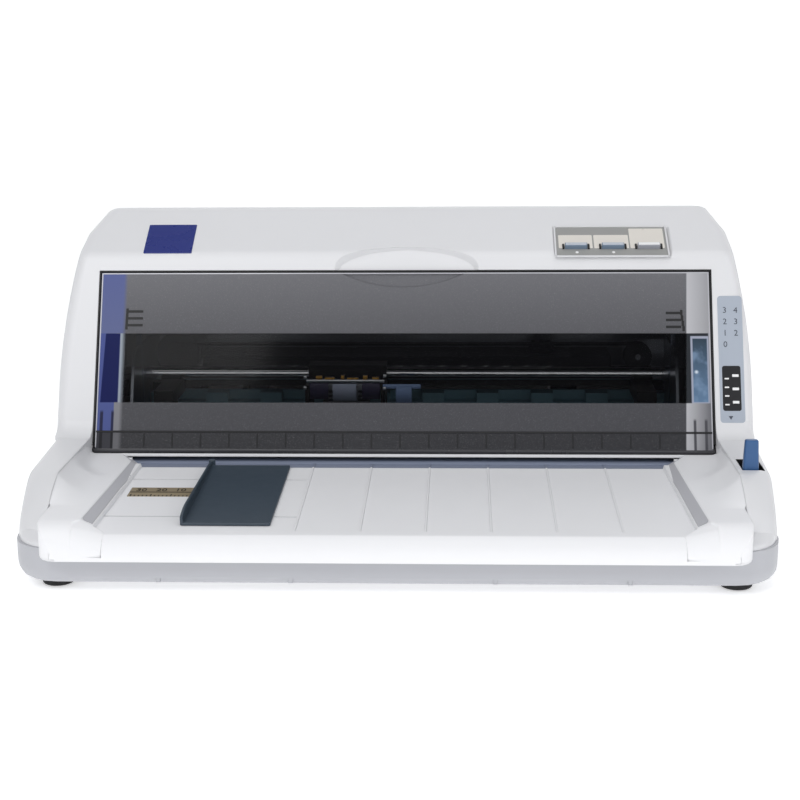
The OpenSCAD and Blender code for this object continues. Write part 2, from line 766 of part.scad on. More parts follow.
module panel_board() {
  color([0.1, 0.35, 0.2]) on_control() {
    translate([panel_x - 40, panel_low, -12.6]) cube([80, 26, 1.6]);
    for (x = button_xs) {
      translate([x - 3, button_low - 0.3, -11]) cube([6, 6, 1.8]);
    }
    both_sides_of(panel_x, 38) translate([0, 20, -11]) cylinder(h = 11 - panel_deep - 2.4, r = 2.5);
  }
}
module both_sides_of(x, d) {
  for (s = [-1, 1]) translate([x + s * d, 0, 0]) children();
}

lever_pivot_y = lever_slot_y0 + 4;
lever_pivot_z = 34;
lever_w = 11;

// Release lever: a tapered blade on a hub, standing up through the slot in the right shoulder
module release_lever() {
  color([0.2, 0.42, 0.68]) {
    difference() {
      union() {
        rod(lever_x - lever_w / 2, lever_x + lever_w / 2, lever_pivot_y, lever_pivot_z, 6);
        translate([lever_x, lever_pivot_y, 0]) rotate([90, 0, 0]) translate([0, 0, -2.4])
          linear_extrude(4.8)
          polygon([[-lever_w / 2, lever_pivot_z], [lever_w / 2, lever_pivot_z], [3.9, arm_z + 18],
            [2.9, arm_z + 19], [-2.9, arm_z + 19], [-3.9, arm_z + 18]]);
      }
      rod(lever_x - lever_w, lever_x + lever_w, lever_pivot_y, lever_pivot_z, 2 + fit);
    }
  }
}

module release_lever_bracket() {
  color([0.6, 0.62, 0.65]) {
    rod(lever_x - 7.7, lever_x + 7.7, lever_pivot_y, lever_pivot_z, 2);
    for (s = [-1, 1]) translate([lever_x + s * 6.9, 0, 0])
      block([-0.8, lever_pivot_y - 6, seat_z + 6], [0.8, lever_pivot_y + 6, lever_pivot_z + 6]);
    block([lever_x - 7.7, lever_pivot_y - 6, seat_z + 6], [lever_x + 7.7, lever_pivot_y + 6, seat_z + 7.5]);
    block([lever_x - 7.7, lever_pivot_y - 6, seat_z], [lever_x + 1.5, lever_pivot_y + 6, seat_z + 7]);
  }
}

thickness_x = win_w / 2 - 9.5;
thickness_y = 34;
thickness_z = 62;

// Paper thickness lever on the right side frame, with its tip behind the window's side slot
module thickness_lever() {
  color([0.62, 0.72, 0.86]) difference() {
    union() {
      rod(thickness_x, thickness_x + 4, thickness_y, thickness_z, 7);
      translate([thickness_x, thickness_y, thickness_z]) rotate([90, 0, 90]) linear_extrude(3)
        polygon([[-4, 4], [-33, 31], [-31, 35], [-26, 35], [4, 6]]);
    }
    rod(thickness_x - 3, thickness_x + 9, thickness_y, thickness_z, 2.5 + fit);
  }
}

// ---------------------------------------------------------------- frame

deck_z = seat_z + 1.5;
side_outline = [
  [frame_front_y, deck_z], [frame_front_y, 41], [frame_front_y + 6, 46], [frame_front_y + 6, 53],
    [6, 108], [14, 112],
  [frame_back_y - 68, 112], [frame_back_y, 84], [frame_back_y, deck_z]];

module base_frame() {
  color([0.7, 0.71, 0.73]) difference() {
    block([-frame_out_x, frame_front_y, seat_z], [frame_out_x, frame_back_y, deck_z]);
    for (x = [-120, -40, 40, 120]) for (k = [0.12, 0.5, 0.88])
      translate([x, frame_front_y + k * (frame_back_y - frame_front_y), seat_z - cut]) cylinder(h = 5,
        r = 12);
  }
}

// Side plate with its bores; x is the plate's inner face on the right side
module side_plate() {
  difference() {
    translate([frame_in / 2, 0, 0]) rotate([90, 0, 90]) linear_extrude(plate)
      polygon(rounded(side_outline, [1, 2, 2, 2, 4, 4, 10, 6, 1], 4));
    side_bore(platen_y, platen_z, shaft_r + fit);
    side_bore(guide_y, guide_z, guide_r);
    side_bore(front_roller_y, roller_z, 3 + fit);
    side_bore(rear_roller_y, roller_z, 3 + fit);
    side_bore(front_roller_y, pinch_z, 2 + fit);
    side_bore(rear_roller_y, pinch_z, 2 + fit);
    side_bore(tractor_y, tractor_z, 3 + fit);
    side_bore(support_y, support_z, 3);
    side_bore(frame_back_y - 68, 70, 12);
    side_bore(frame_back_y - 33, 78, 8);
  }
}
module side_bore(y, z, r) {
  rod(frame_in / 2 - cut, frame_out_x + cut, y, z, r);
}

module left_side_frame() {
  color([0.72, 0.73, 0.75]) {
    difference() {
      mirror([1, 0, 0]) side_plate();
      rod(-frame_out_x - cut, -frame_in / 2 + cut, pinion_y, pinion_z, 6);
    }
    rod(gear_x_end, -frame_out_x, reduction_y, platen_z, 3);
    rod(gear_x - 1, -frame_out_x, idler_pos[0], idler_pos[1], 2.5);
  }
}

module right_side_frame() {
  color([0.72, 0.73, 0.75]) {
    side_plate();
    rod(frame_out_x, thickness_x + 5, thickness_y, thickness_z, 2.5);
    block([pulley_x - 10, 62, belt_z - 10], [frame_in / 2, 64, belt_z + 10]);
    translate([pulley_x, 62, belt_z]) rotate([90, 0, 0]) cylinder(h = 17, r = 2);
  }
}

// Rail that the carriage's front foot slides on
module front_rail() {
  color([0.75, 0.76, 0.78]) across(frame_in)
    polygon([[-2, 50], [-2, 59], [6, 59], [6, 57.5], [-0.5, 57.5], [-0.5, 50]]);
}

module rear_beam() {
  color([0.72, 0.73, 0.75]) across(frame_in)
    polygon([[94, 84], [94, 112.5], [106, 112.5], [106, 111], [95.5, 111], [95.5, 84]]);
}

roller_xs = [-150, -90, -30, 30, 90, 150];
roll_w = 20;

// Sheet bed that the paper runs over, open at the platen and the feed rolls
module paper_bed() {
  bed_top_z = paper_z - 0.6;
  color([0.5, 0.52, 0.56]) difference() {
    block([-frame_in / 2, inlet_back_y + gap, bed_top_z - 1.4],
      [frame_in / 2, tractor_front_y - 2, bed_top_z]);
    block([-platen_l / 2 - 1, platen_y - 9, 0], [platen_l / 2 + 1, platen_y + 9, 80]);
    for (x = roller_xs) for (y = [front_roller_y, rear_roller_y])
      block([x - roll_w / 2 - 1, y - 8, 0], [x + roll_w / 2 + 1, y + 8, 80]);
  }
}

// ---------------------------------------------------------------- carriage and ribbon

module carriage_guide_shaft() {
  color([0.85, 0.86, 0.88]) rod(-frame_out_x - 2, frame_out_x + 2, guide_y, guide_z, guide_r);
}

head_w = 32;

module carriage() {
  w = carriage_w;
  run_z = belt_z - belt_r - 0.1 - belt_t;
  color([0.14, 0.14, 0.16]) translate([carriage_x, 0, 0]) difference() {
    union() {
      block([-w / 2, guide_y - 8, guide_z - 9], [w / 2, guide_y + 8, guide_z + 7]);
      for (s = [-1, 1]) translate([s * (w / 2 - 1.5), 0, 0])
        block([-1.5, 4, 60], [1.5, guide_y, guide_z - 2]);
      block([-w / 2, 4, 60], [w / 2, guide_y - 4, 62]);
      block([-w / 2, -2, 59.1], [w / 2, 6, 62]);
      block([-w / 2, 4, 62], [w / 2, 6, 72]);
      block([-10, guide_y + 6, run_z - 2], [10, belt_y - 3.3, run_z + belt_t + 2]);
      for (z = [run_z - 2, run_z + belt_t + 0.3])
        block([-10, belt_y - 4, z], [10, belt_y + 3, z + 1.7]);
    }
    rod(-w, w, guide_y, guide_z, guide_r + fit);
    block([-7, 12, 50], [7, 28, 70]);
  }
}

// 24-pin head: a finned body with a tapered nose that points down at the platen
module print_head() {
  color([0.62, 0.64, 0.67]) translate([carriage_x, 0, 0]) {
    difference() {
      block([-head_w / 2, 8, 62], [head_w / 2, 29, 86]);
      for (i = [0 : 5]) {
        block([-head_w / 2 - cut, 7, 66 + i * 3.2], [-head_w / 2 + 7, 30, 67.6 + i * 3.2]);
        block([head_w / 2 - 7, 7, 66 + i * 3.2], [head_w / 2 + cut, 30, 67.6 + i * 3.2]);
      }
    }
    translate([0, 20, 0]) rotate([90, 0, 0]) translate([0, 0, -6]) linear_extrude(12)
      polygon([[-6, 62], [-3, 46.2], [3, 46.2], [6, 62]]);
    block([-18, 10, 86], [18, 27, 88]);
  }
}

cartridge_w = frame_in - 78;
ribbon_arm_x = frame_in / 2 - 25;
ribbon_z = paper_z + 1.7;

module ribbon_cartridge() {
  color([0.09, 0.09, 0.1]) {
    difference() {
      union() {
        block([-cartridge_w / 2, 57, 76], [cartridge_w / 2, 92, 98]);
        both_sides() {
          block([cartridge_w / 2 - 2, 57, 76], [ribbon_arm_x + 14, 75, 83.5]);
          block([ribbon_arm_x, 28, 72], [ribbon_arm_x + 14, 58, 82]);
          block([ribbon_arm_x, 12, 45.1], [ribbon_arm_x + 14, 28, 82]);
          block([ribbon_arm_x + 13, 60, 72], [frame_in / 2, 72, 78]);
        }
      }
      for (i = [-3 : 3]) block([i * 40 - 1, 56, 97.2], [i * 40 + 1, 93, 99]);
    }
    translate([100, 75, 97]) cylinder(h = 6, r = 2);
  }
}

module ribbon() {
  color([0.05, 0.05, 0.06]) block([-ribbon_arm_x, platen_y - 6.5, ribbon_z],
    [ribbon_arm_x, platen_y + 6.5, ribbon_z + 0.3]);
}

module ribbon_knob() {
  color([0.25, 0.5, 0.62]) translate([100, 75, 98 + gap]) difference() {
    union() {
      cylinder(h = 3, r = 10);
      for (i = [0 : 7]) rotate([0, 0, i * 45]) translate([-0.9, 0, 2]) cube([1.8, 9, 5]);
      cylinder(h = 7, r = 4);
    }
    translate([0, 0, -cut]) cylinder(h = 6.5, r = 2 + fit);
  }
}

module carriage_motor() {
  color([0.3, 0.31, 0.33]) translate([-pulley_x, 0, belt_z]) rotate([-90, 0, 0]) {
    translate([0, 0, 57]) cylinder(h = 94 - 57, r = 16);
    translate([0, 0, 45]) cylinder(h = 12, r = 2);
  }
}

// Belt pulley whose axis is Z, with its middle at the origin
module pulley(r, w, bore) {
  difference() {
    union() {
      translate([0, 0, -w / 2]) cylinder(h = w, r = r);
      for (s = [-1, 1]) translate([0, 0, s * (w / 2 + 0.5) - 0.5]) cylinder(h = 1, r = r + 2);
    }
    translate([0, 0, -w]) cylinder(h = 2 * w, r = bore);
  }
}
module carriage_pulley(x) {
  color([0.88, 0.87, 0.82]) translate([x, belt_y, belt_z]) rotate([90, 0, 0]) pulley(belt_r, 6.4, 2 + fit);
}
module drive_pulley() { carriage_pulley(-pulley_x); }
module idler_pulley() { carriage_pulley(pulley_x); }

// Closed belt round two equal pulleys at a and b in the XY plane
module belt_loop(a, b, r, t, w) {
  l = norm(b - a);
  translate([a[0], a[1], -w / 2]) rotate([0, 0, atan2(b[1] - a[1], b[0] - a[0])]) difference() {
    union() {
      cylinder(h = w, r = r + t);
      translate([l, 0, 0]) cylinder(h = w, r = r + t);
      translate([0, -r - t, 0]) cube([l, 2 * (r + t), w]);
    }
    translate([0, 0, -cut]) {
      cylinder(h = w + 2 * cut, r = r);
      translate([l, 0, 0]) cylinder(h = w + 2 * cut, r = r);
      translate([0, -r, 0]) cube([l, 2 * r, w + 2 * cut]);
    }
  }
}

module timing_belt() {
  color([0.1, 0.1, 0.11]) translate([0, belt_y, belt_z]) rotate([90, 0, 0])
    belt_loop([-pulley_x, 0], [pulley_x, 0], belt_r + 0.1, belt_t, 6);
}

// ---------------------------------------------------------------- paper feed

// Spur gear with straight-flanked teeth, its axis along X, starting at x
module gear(x, y, z, teeth, w, bore, turn) {
  r = gear_mod * teeth / 2;
  translate([x, y, z]) rotate([90, 0, 90]) difference() {
    linear_extrude(w) polygon([for (i = [0 : teeth - 1])
      let (a = turn + i * 360 / teeth, p = 360 / teeth)
      each [around([0, 0], r - 1.15 * gear_mod, a - p * 0.36), around([0, 0], r + 0.85 * gear_mod,
        a - p * 0.13),
        around([0, 0], r + 0.85 * gear_mod, a + p * 0.13), around([0, 0], r - 1.15 * gear_mod,
          a + p * 0.36)]]);
    translate([0, 0, -cut]) cylinder(h = w + 2 * cut, r = bore);
  }
}

// Turn of a gear at c2 that puts a tooth gap where the gear at c1, turned by t1, has its tooth
function mesh_turn(c1, n1, t1, c2, n2) =
  let (a = atan2(c2[1] - c1[1], c2[0] - c1[0]))
  let (phase = (a - t1) / (360 / n1))
  a + 180 + (phase + 0.5) * 360 / n2;

platen_c = [platen_y, platen_z];
reduction_c = [reduction_y, platen_z];
rear_c = [rear_roller_y, roller_z];
front_c = [front_roller_y, roller_z];
pinion_c = [pinion_y, pinion_z];
// The front idler stands where it meshes with both the platen gear and the front roller's gear
idler_a = gear_mod * (platen_teeth + idler_teeth) / 2;
idler_b = gear_mod * (roller_teeth + idler_teeth) / 2;
idler_d = norm(front_c - platen_c);
idler_along = (idler_a * idler_a - idler_b * idler_b + idler_d * idler_d) / (2 * idler_d);
idler_up = sqrt(idler_a * idler_a - idler_along * idler_along);
idler_dir = (front_c - platen_c) / idler_d;
idler_pos = platen_c + idler_dir * idler_along + [idler_dir[1], -idler_dir[0]] * idler_up;

reduction_turn = mesh_turn(platen_c, platen_teeth, 0, reduction_c, small_teeth);
idler_turn = mesh_turn(platen_c, platen_teeth, 0, idler_pos, idler_teeth);
front_turn = mesh_turn(idler_pos, idler_teeth, idler_turn, front_c, roller_teeth);
rear_turn = mesh_turn(reduction_c, small_teeth, reduction_turn, rear_c, roller_teeth);
pinion_turn = mesh_turn(reduction_c, large_teeth, 0, pinion_c, pinion_teeth);

platen_l = frame_in - 22;
knob_x0 = half_w - 17;
knob_x1 = half_w - 0.5;

module platen() {
  color([0.12, 0.12, 0.13]) {
    rod(-platen_l / 2, platen_l / 2, platen_y, platen_z, platen_r);
    rod(gear_x - 1, knob_x0 + 10, platen_y, platen_z, shaft_r);
  }
}

module platen_gear() {
  color([0.9, 0.89, 0.84]) gear(gear_x, platen_y, platen_z, platen_teeth, gear_w, shaft_r, 0);
}

module paper_knob() {
  color([0.25, 0.26, 0.28]) difference() {
    rod(knob_x0, knob_x1, platen_y, platen_z, knob_r);
    for (i = [0 : 17]) translate([0, platen_y, platen_z]) rotate([i * 20, 0, 0])
      block([knob_x0 - cut, -0.8, knob_r - 0.8], [knob_x1 + cut, 0.8, knob_r + cut]);
    rod(knob_x0 - cut, knob_x0 + 10, platen_y, platen_z, shaft_r);
  }
}

module feed_motor() {
  color([0.35, 0.36, 0.38]) {
    rod(-frame_in / 2, -frame_in / 2 + 24, pinion_y, pinion_z, 12.5);
    rod(gear_x_end, -frame_in / 2, pinion_y, pinion_z, 1.8);
  }
}

module motor_pinion() {
  color([0.82, 0.7, 0.4]) gear(large_gear_x, pinion_y, pinion_z, pinion_teeth, gear_w, 1.8 + fit,
    pinion_turn);
}

module reduction_gear() {
  color([0.9, 0.89, 0.84]) {
    gear(large_gear_x, reduction_y, platen_z, large_teeth, gear_w, 3 + fit, 0);
    gear(large_gear_x + gear_w, reduction_y, platen_z, small_teeth, gear_w + gear_gap, 3 + fit,
      reduction_turn);
  }
}

module idler_gear() {
  color([0.9, 0.89, 0.84]) gear(gear_x, idler_pos[0], idler_pos[1], idler_teeth, gear_w, 2.5 + fit,
    idler_turn);
}

// Steel shaft with rubber rolls, from the gear on its left end to the right side frame
module feed_roller(y, turn) {
  color([0.8, 0.81, 0.83]) rod(gear_x + gear_w - 1, frame_out_x + 2, y, roller_z, 3);
  color([0.2, 0.2, 0.21]) for (x = roller_xs) ring(x - roll_w / 2, x + roll_w / 2, y, roller_z,
    roller_r, 3);
  color([0.9, 0.89, 0.84]) gear(gear_x, y, roller_z, roller_teeth, gear_w, 3, turn);
}
// Tube along X
module ring(x0, x1, y, z, r, bore) {
  difference() {
    rod(x0, x1, y, z, r);
    rod(x0 - cut, x1 + cut, y, z, bore);
  }
}

module front_feed_roller() { feed_roller(front_roller_y, front_turn); }
module rear_feed_roller() {
  feed_roller(rear_roller_y, rear_turn);
  color([0.9, 0.89, 0.84]) translate([tractor_belt_x, rear_roller_y, roller_z]) rotate([90, 0, 90])
    pulley(tractor_belt_r, 3.6, 3);
}

tractor_belt_r = 8;
tractor_belt_x = -frame_out_x - 4;

module pinch_rollers(y) {
  color([0.8, 0.81, 0.83]) rod(-frame_out_x, frame_out_x, y, pinch_z, 2);
  color([0.22, 0.45, 0.52]) for (x = roller_xs) ring(x - 8, x + 8, y, pinch_z, pinch_r, 2);
}
module front_pinch_rollers() { pinch_rollers(front_roller_y); }
module rear_pinch_rollers() { pinch_rollers(rear_roller_y); }

// Moulded bars that carry the pinch roller shafts on forks
module roller_holders() {
  color([0.3, 0.5, 0.6]) difference() {
    union() {
      block([-frame_in / 2, front_roller_y - 2, pinch_z + pinch_r + 0.8],
        [frame_in / 2, front_roller_y + 5, pinch_z + pinch_r + 3]);
      block([-frame_in / 2, rear_roller_y - 6, pinch_z + pinch_r + 0.8],
        [frame_in / 2, rear_roller_y + 8, 71]);
      for (y = [front_roller_y, rear_roller_y]) for (x = [-120, -60, 0, 60, 120])
        block([x - 1.5, y - 3.6, pinch_z - 3.5], [x + 1.5, y + 3.6, pinch_z + pinch_r + 1]);
    }
    for (y = [front_roller_y, rear_roller_y]) rod(-130, 130, y, pinch_z, 2 + fit);
    for (i = [-4 : 4]) block([i * 40 - 12, rear_roller_y - 7, 64], [i * 40 + 12, rear_roller_y + 4, 72]);
  }
}

// ---------------------------------------------------------------- rear tractors

module tractor_drive_shaft() {
  color([0.8, 0.81, 0.83]) rod(tractor_belt_x - 3, frame_out_x + 2, tractor_y, tractor_z, 3);
  color([0.9, 0.89, 0.84]) translate([tractor_belt_x, tractor_y, tractor_z]) rotate([90, 0, 90])
    pulley(tractor_belt_r, 3.6, 3);
}

module tractor_support_shaft() {
  color([0.8, 0.81, 0.83]) rod(-frame_out_x, frame_out_x, support_y, support_z, 3);
}

module tractor_belt() {
  color([0.1, 0.1, 0.11]) translate([tractor_belt_x, 0, 0]) rotate([90, 0, 90])
    belt_loop([rear_roller_y, roller_z], [tractor_y, tractor_z], tractor_belt_r + 0.1, 1.2, 3.2);
}

tractor_outline = [
  [tractor_front_y, 40], [tractor_front_y, 59], [tractor_y + 16, 59], [tractor_y + 16, 44],
    [tractor_y + 6, 35.5],
  [tractor_y - 8, 35.5]];

// Tractor frame: two cheeks joined by a bridge in front of the sprocket
module tractor(s) {
  color([0.2, 0.2, 0.22]) translate([s * tractor_x, 0, 0]) difference() {
    translate([-10, 0, 0]) rotate([90, 0, 90]) linear_extrude(20)
      polygon(rounded(tractor_outline, [3, 3, 3, 3, 6, 6], 3));
    block([-3.6, tractor_y - tractor_r - 1.5, 30], [3.6, tractor_y + tractor_r + 4, 70]);
    rod(-20, 20, tractor_y, tractor_z, 3 + fit);
    rod(-20, 20, support_y, support_z, 3 + fit);
  }
  color([0.2, 0.2, 0.22]) translate([s * (tractor_x + 8), 0, 0])
    for (y = [tractor_y - 32, tractor_y + 6]) difference() {
      block([-2, y, 58.5], [2, y + 4, 64]);
      translate([0, y - cut, 62]) rotate([-90, 0, 0]) cylinder(h = 6, r = 1 + fit);
    }
}
module left_tractor() { tractor(-1); }
module right_tractor() { tractor(1); }

// Pin wheel between the tractor's cheeks
module sprocket(s) {
  color([0.85, 0.84, 0.78]) translate([s * tractor_x, tractor_y, tractor_z]) rotate([0, 90, 0]) {
    difference() {
      translate([0, 0, -3]) cylinder(h = 6, r = tractor_r - 2);
      translate([0, 0, -4]) cylinder(h = 8, r = 3 + fit);
    }
    for (i = [0 : 5]) rotate([0, 0, i * 60]) translate([tractor_r - 2.4, 0, 0]) rotate([0, 90, 0])
      cylinder(h = 2.4, r1 = 1.4, r2 = 0.8, $fn = 16);
  }
}
module left_sprocket() { sprocket(-1); }
module right_sprocket() { sprocket(1); }

module tractor_cover(s) {
  color([0.3, 0.31, 0.33]) translate([s * tractor_x, tractor_y, 0]) {
    difference() {
      union() {
        block([-9.5, -34, 61], [4, 14, 63]);
        block([3.9, -27.6, 61], [8, 5.6, 63]);
        translate([8, -27.6, 62]) rotate([-90, 0, 0]) cylinder(h = 33.2, r = 1.9);
      }
      block([-2.6, -16, 60], [2.6, 12, 64]);
    }
    translate([8, -31.5, 62]) rotate([-90, 0, 0]) cylinder(h = 41, r = 1);
  }
}
module left_tractor_cover() { mirror([1, 0, 0]) tractor_cover(1); }
module right_tractor_cover() { tractor_cover(1); }

flap_y = rear_y - 2.6;

// Rear paper guide: a flap hinged at its lower edge
module rear_paper_guide() {
  color([0.88, 0.88, 0.89]) {
    difference() {
      block([-flap_w / 2, flap_y, flap_z0], [flap_w / 2, rear_y - 0.1, flap_z1]);
      block([-20, rear_y - 1.2, flap_z1 - 9], [20, rear_y + 1, flap_z1 + 1]);
    }
    for (i = [-6 : 6]) block([i * 20 - 0.8, flap_y - 1.5, flap_z0 + 6],
      [i * 20 + 0.8, flap_y + 0.1, flap_z1 - 4]);
    rod(-flap_w / 2, flap_w / 2, flap_y + 0.6, flap_z0, 2);
    both_sides() rod(flap_w / 2 - cut, flap_w / 2 + 4, flap_y + 0.6, flap_z0, pin_r);
  }
}

// ---------------------------------------------------------------- electrics

board_z = 27.4;
board_t = 1.6;
board_y = 100;
supply_z = 14;

module main_board() {
  color([0.1, 0.35, 0.2]) {
    block([30, board_y, board_z], [frame_in / 2 - 5, rear_y - 7, board_z + board_t]);
    for (x = [38, frame_in / 2 - 13]) for (y = [board_y + 6, rear_y - 21]) translate([x, y, deck_z])
      cylinder(h = board_z - deck_z, r = 3);
  }
  color([0.1, 0.1, 0.11]) for (p = [[60, 15, 22], [100, 20, 16], [60, 45, 14], [150, 12, 12]])
    block([p[0], board_y + p[1], board_z + board_t], [p[0] + p[2], board_y + p[1] + p[2],
      board_z + board_t + 2.2]);
}

// Two socket shells that stand on the main board and show through the rear wall
module interface_sockets() {
  low = board_z + board_t + 0.05;
  color([0.16, 0.16, 0.18]) {
    difference() {
      block([port_x - port_w / 2, rear_y - 16, low], [port_x + port_w / 2, rear_y - 0.4,
        port_z + port_h - gap]);
      block([port_x - 27, rear_y - 8, port_z + 3], [port_x + 27, rear_y + 1, port_z + port_h - 3]);
    }
    difference() {
      block([usb_x - usb_w / 2, rear_y - 16, low], [usb_x + usb_w / 2, rear_y - 0.4,
        port_z + usb_h - gap]);
      block([usb_x - 4.2, rear_y - 9, port_z + 1.6], [usb_x + 4.2, rear_y + 1, port_z + usb_h - 1.6]);
    }
  }
}

module power_supply_board() {
  color([0.55, 0.4, 0.2]) {
    block([-frame_in / 2 + 7, board_y, supply_z], [-70, rear_y - 9, supply_z + board_t]);
    for (x = [-frame_in / 2 + 15, -78]) for (y = [board_y + 6, rear_y - 25])
      translate([x, y, deck_z]) cylinder(h = supply_z - deck_z, r = 3);
  }
  color([0.75, 0.65, 0.2]) block([-176, board_y + 4, supply_z + board_t],
    [-140, board_y + 34, supply_z + 20]);
  color([0.12, 0.12, 0.14]) for (x = [-128, -106, -86])
    translate([x, board_y + 18, supply_z + board_t]) cylinder(h = 16, r = 8);
}

// Mains inlet: a socket body with a flange that seats behind the rear wall
module ac_inlet() {
  color([0.1, 0.1, 0.11]) difference() {
    union() {
      block([inlet_x - inlet_w / 2, rear_y - 15.5, inlet_z + gap],
        [inlet_x + inlet_w / 2, rear_y - 0.4, inlet_z + inlet_h - gap]);
      block([inlet_x - inlet_w / 2 - 4, rear_y - wall - 2.05, inlet_z - 1.5],
        [inlet_x + inlet_w / 2 + 4, rear_y - wall - 0.05, inlet_z + inlet_h + 3]);
    }
    block([inlet_x - 11.5, rear_y - 13, inlet_z + 3.5],
      [inlet_x + 11.5, rear_y + 1, inlet_z + inlet_h - 3.5]);
  }
  color([0.75, 0.75, 0.77]) for (p = [[-7, 8], [0, 12], [7, 8]])
    block([inlet_x + p[0] - 1, rear_y - 14, inlet_z + p[1] - 2],
      [inlet_x + p[0] + 1, rear_y - 6, inlet_z + p[1] + 2]);
}

switch_pivot_x = -half_w + 9.5;
rocker_tilt = 7;

// Switch body in the left wall, open to the outside, with the rocker's pin across it
module switch_body() {
  color([0.12, 0.12, 0.13]) {
    difference() {
      union() {
        block([-half_w + 0.2, switch_y - switch_l / 2, switch_z - switch_h / 2],
          [-half_w + 20, switch_y + switch_l / 2, switch_z + switch_h / 2]);
        block([-half_w + wall + 0.05, switch_y - switch_l / 2 - 2, switch_z - switch_h / 2 - 2],
          [-half_w + wall + 2, switch_y + switch_l / 2 + 2, switch_z + switch_h / 2 + 2]);
      }
      block([-half_w - 1, switch_y - 9.9, switch_z - 4.8], [-half_w + 16, switch_y + 9.9, switch_z + 4.8]);
    }
    translate([switch_pivot_x, switch_y, switch_z - 5]) cylinder(h = 10, r = 1.2);
  }
}

// Rocker: two shallow faces that meet over its pin, tilted to one side at rest
module power_switch() {
  color([0.85, 0.85, 0.86]) translate([switch_pivot_x, switch_y, switch_z]) rotate([0, 0,
    -rocker_tilt]) difference() {
    translate([0, 0, -4.5]) linear_extrude(9)
      polygon([[-8, -8.6], [-7, 0], [-8, 8.6], [-4, 8.6], [2.5, 2], [2.5, -2], [-4, -8.6]]);
    translate([0, 0, -5]) cylinder(h = 10, r = 1.2 + fit);
  }
}

lower_housing();
upper_housing();
front_table();
paper_inlet_guide();
printer_cover();
hinge_blocks();
rear_paper_guide();
control_panel();
panel_board();
feed_button();
load_button();
pause_button();
release_lever();
release_lever_bracket();
thickness_lever();
edge_guide();
rubber_feet();
housing_screws();
base_frame();
left_side_frame();
right_side_frame();
front_rail();
rear_beam();
paper_bed();
carriage_guide_shaft();
carriage();
print_head();
ribbon_cartridge();
ribbon();
ribbon_knob();
carriage_motor();
drive_pulley();
idler_pulley();
timing_belt();
platen();
platen_gear();
paper_knob();
feed_motor();
motor_pinion();
reduction_gear();
idler_gear();
front_feed_roller();
rear_feed_roller();
front_pinch_rollers();
rear_pinch_rollers();
roller_holders();
tractor_drive_shaft();
tractor_support_shaft();
tractor_belt();
left_tractor();
right_tractor();
left_sprocket();
right_sprocket();
left_tractor_cover();
right_tractor_cover();
main_board();
interface_sockets();
power_supply_board();
ac_inlet();
switch_body();
power_switch();
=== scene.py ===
# %% [markdown]
# # A flatbed dot matrix printer
# The model is a desk-top machine about 480 mm wide. A white hood carries a smoke-tinted cover on a steep
# front face, and a pale paper table sticks out in front of it. Behind the cover a carriage runs along a
# bright steel shaft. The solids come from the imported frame, and this lesson dresses them: every finish is
# built from shader nodes, and the trim that the solids leave out is worked out with numpy.

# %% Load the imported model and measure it
import json
import math

import bpy
import numpy as np
from mathutils import Matrix, Vector

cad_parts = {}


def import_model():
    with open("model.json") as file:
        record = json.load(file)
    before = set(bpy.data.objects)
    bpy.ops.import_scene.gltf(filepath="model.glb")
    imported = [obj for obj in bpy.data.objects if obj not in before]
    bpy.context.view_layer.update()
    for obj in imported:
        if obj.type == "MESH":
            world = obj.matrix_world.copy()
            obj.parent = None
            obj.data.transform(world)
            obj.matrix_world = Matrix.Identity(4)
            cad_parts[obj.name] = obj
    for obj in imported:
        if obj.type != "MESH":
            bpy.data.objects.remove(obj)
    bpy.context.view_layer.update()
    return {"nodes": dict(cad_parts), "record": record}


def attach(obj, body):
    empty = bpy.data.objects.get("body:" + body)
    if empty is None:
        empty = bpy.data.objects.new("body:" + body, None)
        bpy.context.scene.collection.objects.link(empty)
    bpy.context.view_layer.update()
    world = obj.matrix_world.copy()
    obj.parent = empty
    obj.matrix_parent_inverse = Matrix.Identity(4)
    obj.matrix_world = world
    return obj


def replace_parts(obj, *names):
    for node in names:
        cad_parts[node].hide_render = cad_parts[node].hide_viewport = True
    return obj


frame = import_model()
nodes = frame["nodes"]

# %% [markdown]
# ## The camera
# The machine is seen from a little to its right and from above, through a longish lens, so its sides
# hardly converge. A camera's own axes are its right, its up and the direction behind it, and these three
# unit vectors are the columns of its matrix. The look direction comes from a yaw and a pitch, and a
# rotation about it adds the slight roll. A Track To constraint could aim the camera too, but three angles
# hold the roll as well and are easy to read.

# %% Place the camera
CAMERA_AT = (0.0408, -1.0197, 0.3207)
YAW, PITCH, ROLL = math.radians(2.41), math.radians(13.34), math.radians(-0.47)
SENSOR_MM, LENS_MM = 36.0, 67.47


def look_axes(yaw, pitch, roll):
    """Right, up and forward unit vectors: forward turns by yaw about Z and drops by pitch, right stays
    level, and roll turns right and up about forward."""
    forward = Vector((-math.sin(yaw) * math.cos(pitch), math.cos(yaw) * math.cos(pitch), -math.sin(pitch)))
    level = Vector((math.cos(yaw), math.sin(yaw), 0.0))
    steep = level.cross(forward)
    right = level * math.cos(roll) + steep * math.sin(roll)
    up = -level * math.sin(roll) + steep * math.cos(roll)
    return right, up, forward


def link_object(name, data):
    """An object with this data, in the scene."""
    thing = bpy.data.objects.new(name, data)
    bpy.context.scene.collection.objects.link(thing)
    return thing


right, up, forward = look_axes(YAW, PITCH, ROLL)
lens_data = bpy.data.cameras.new("camera")
lens_data.sensor_width = SENSOR_MM
lens_data.lens = LENS_MM
lens_data.clip_start = 0.02
camera = link_object("camera", lens_data)
camera.matrix_world = Matrix.Translation(CAMERA_AT) @ Matrix((right, up, -forward)).transposed().to_4x4()
bpy.context.scene.camera = camera
print("camera", [round(c, 3) for c in camera.matrix_world.translation])

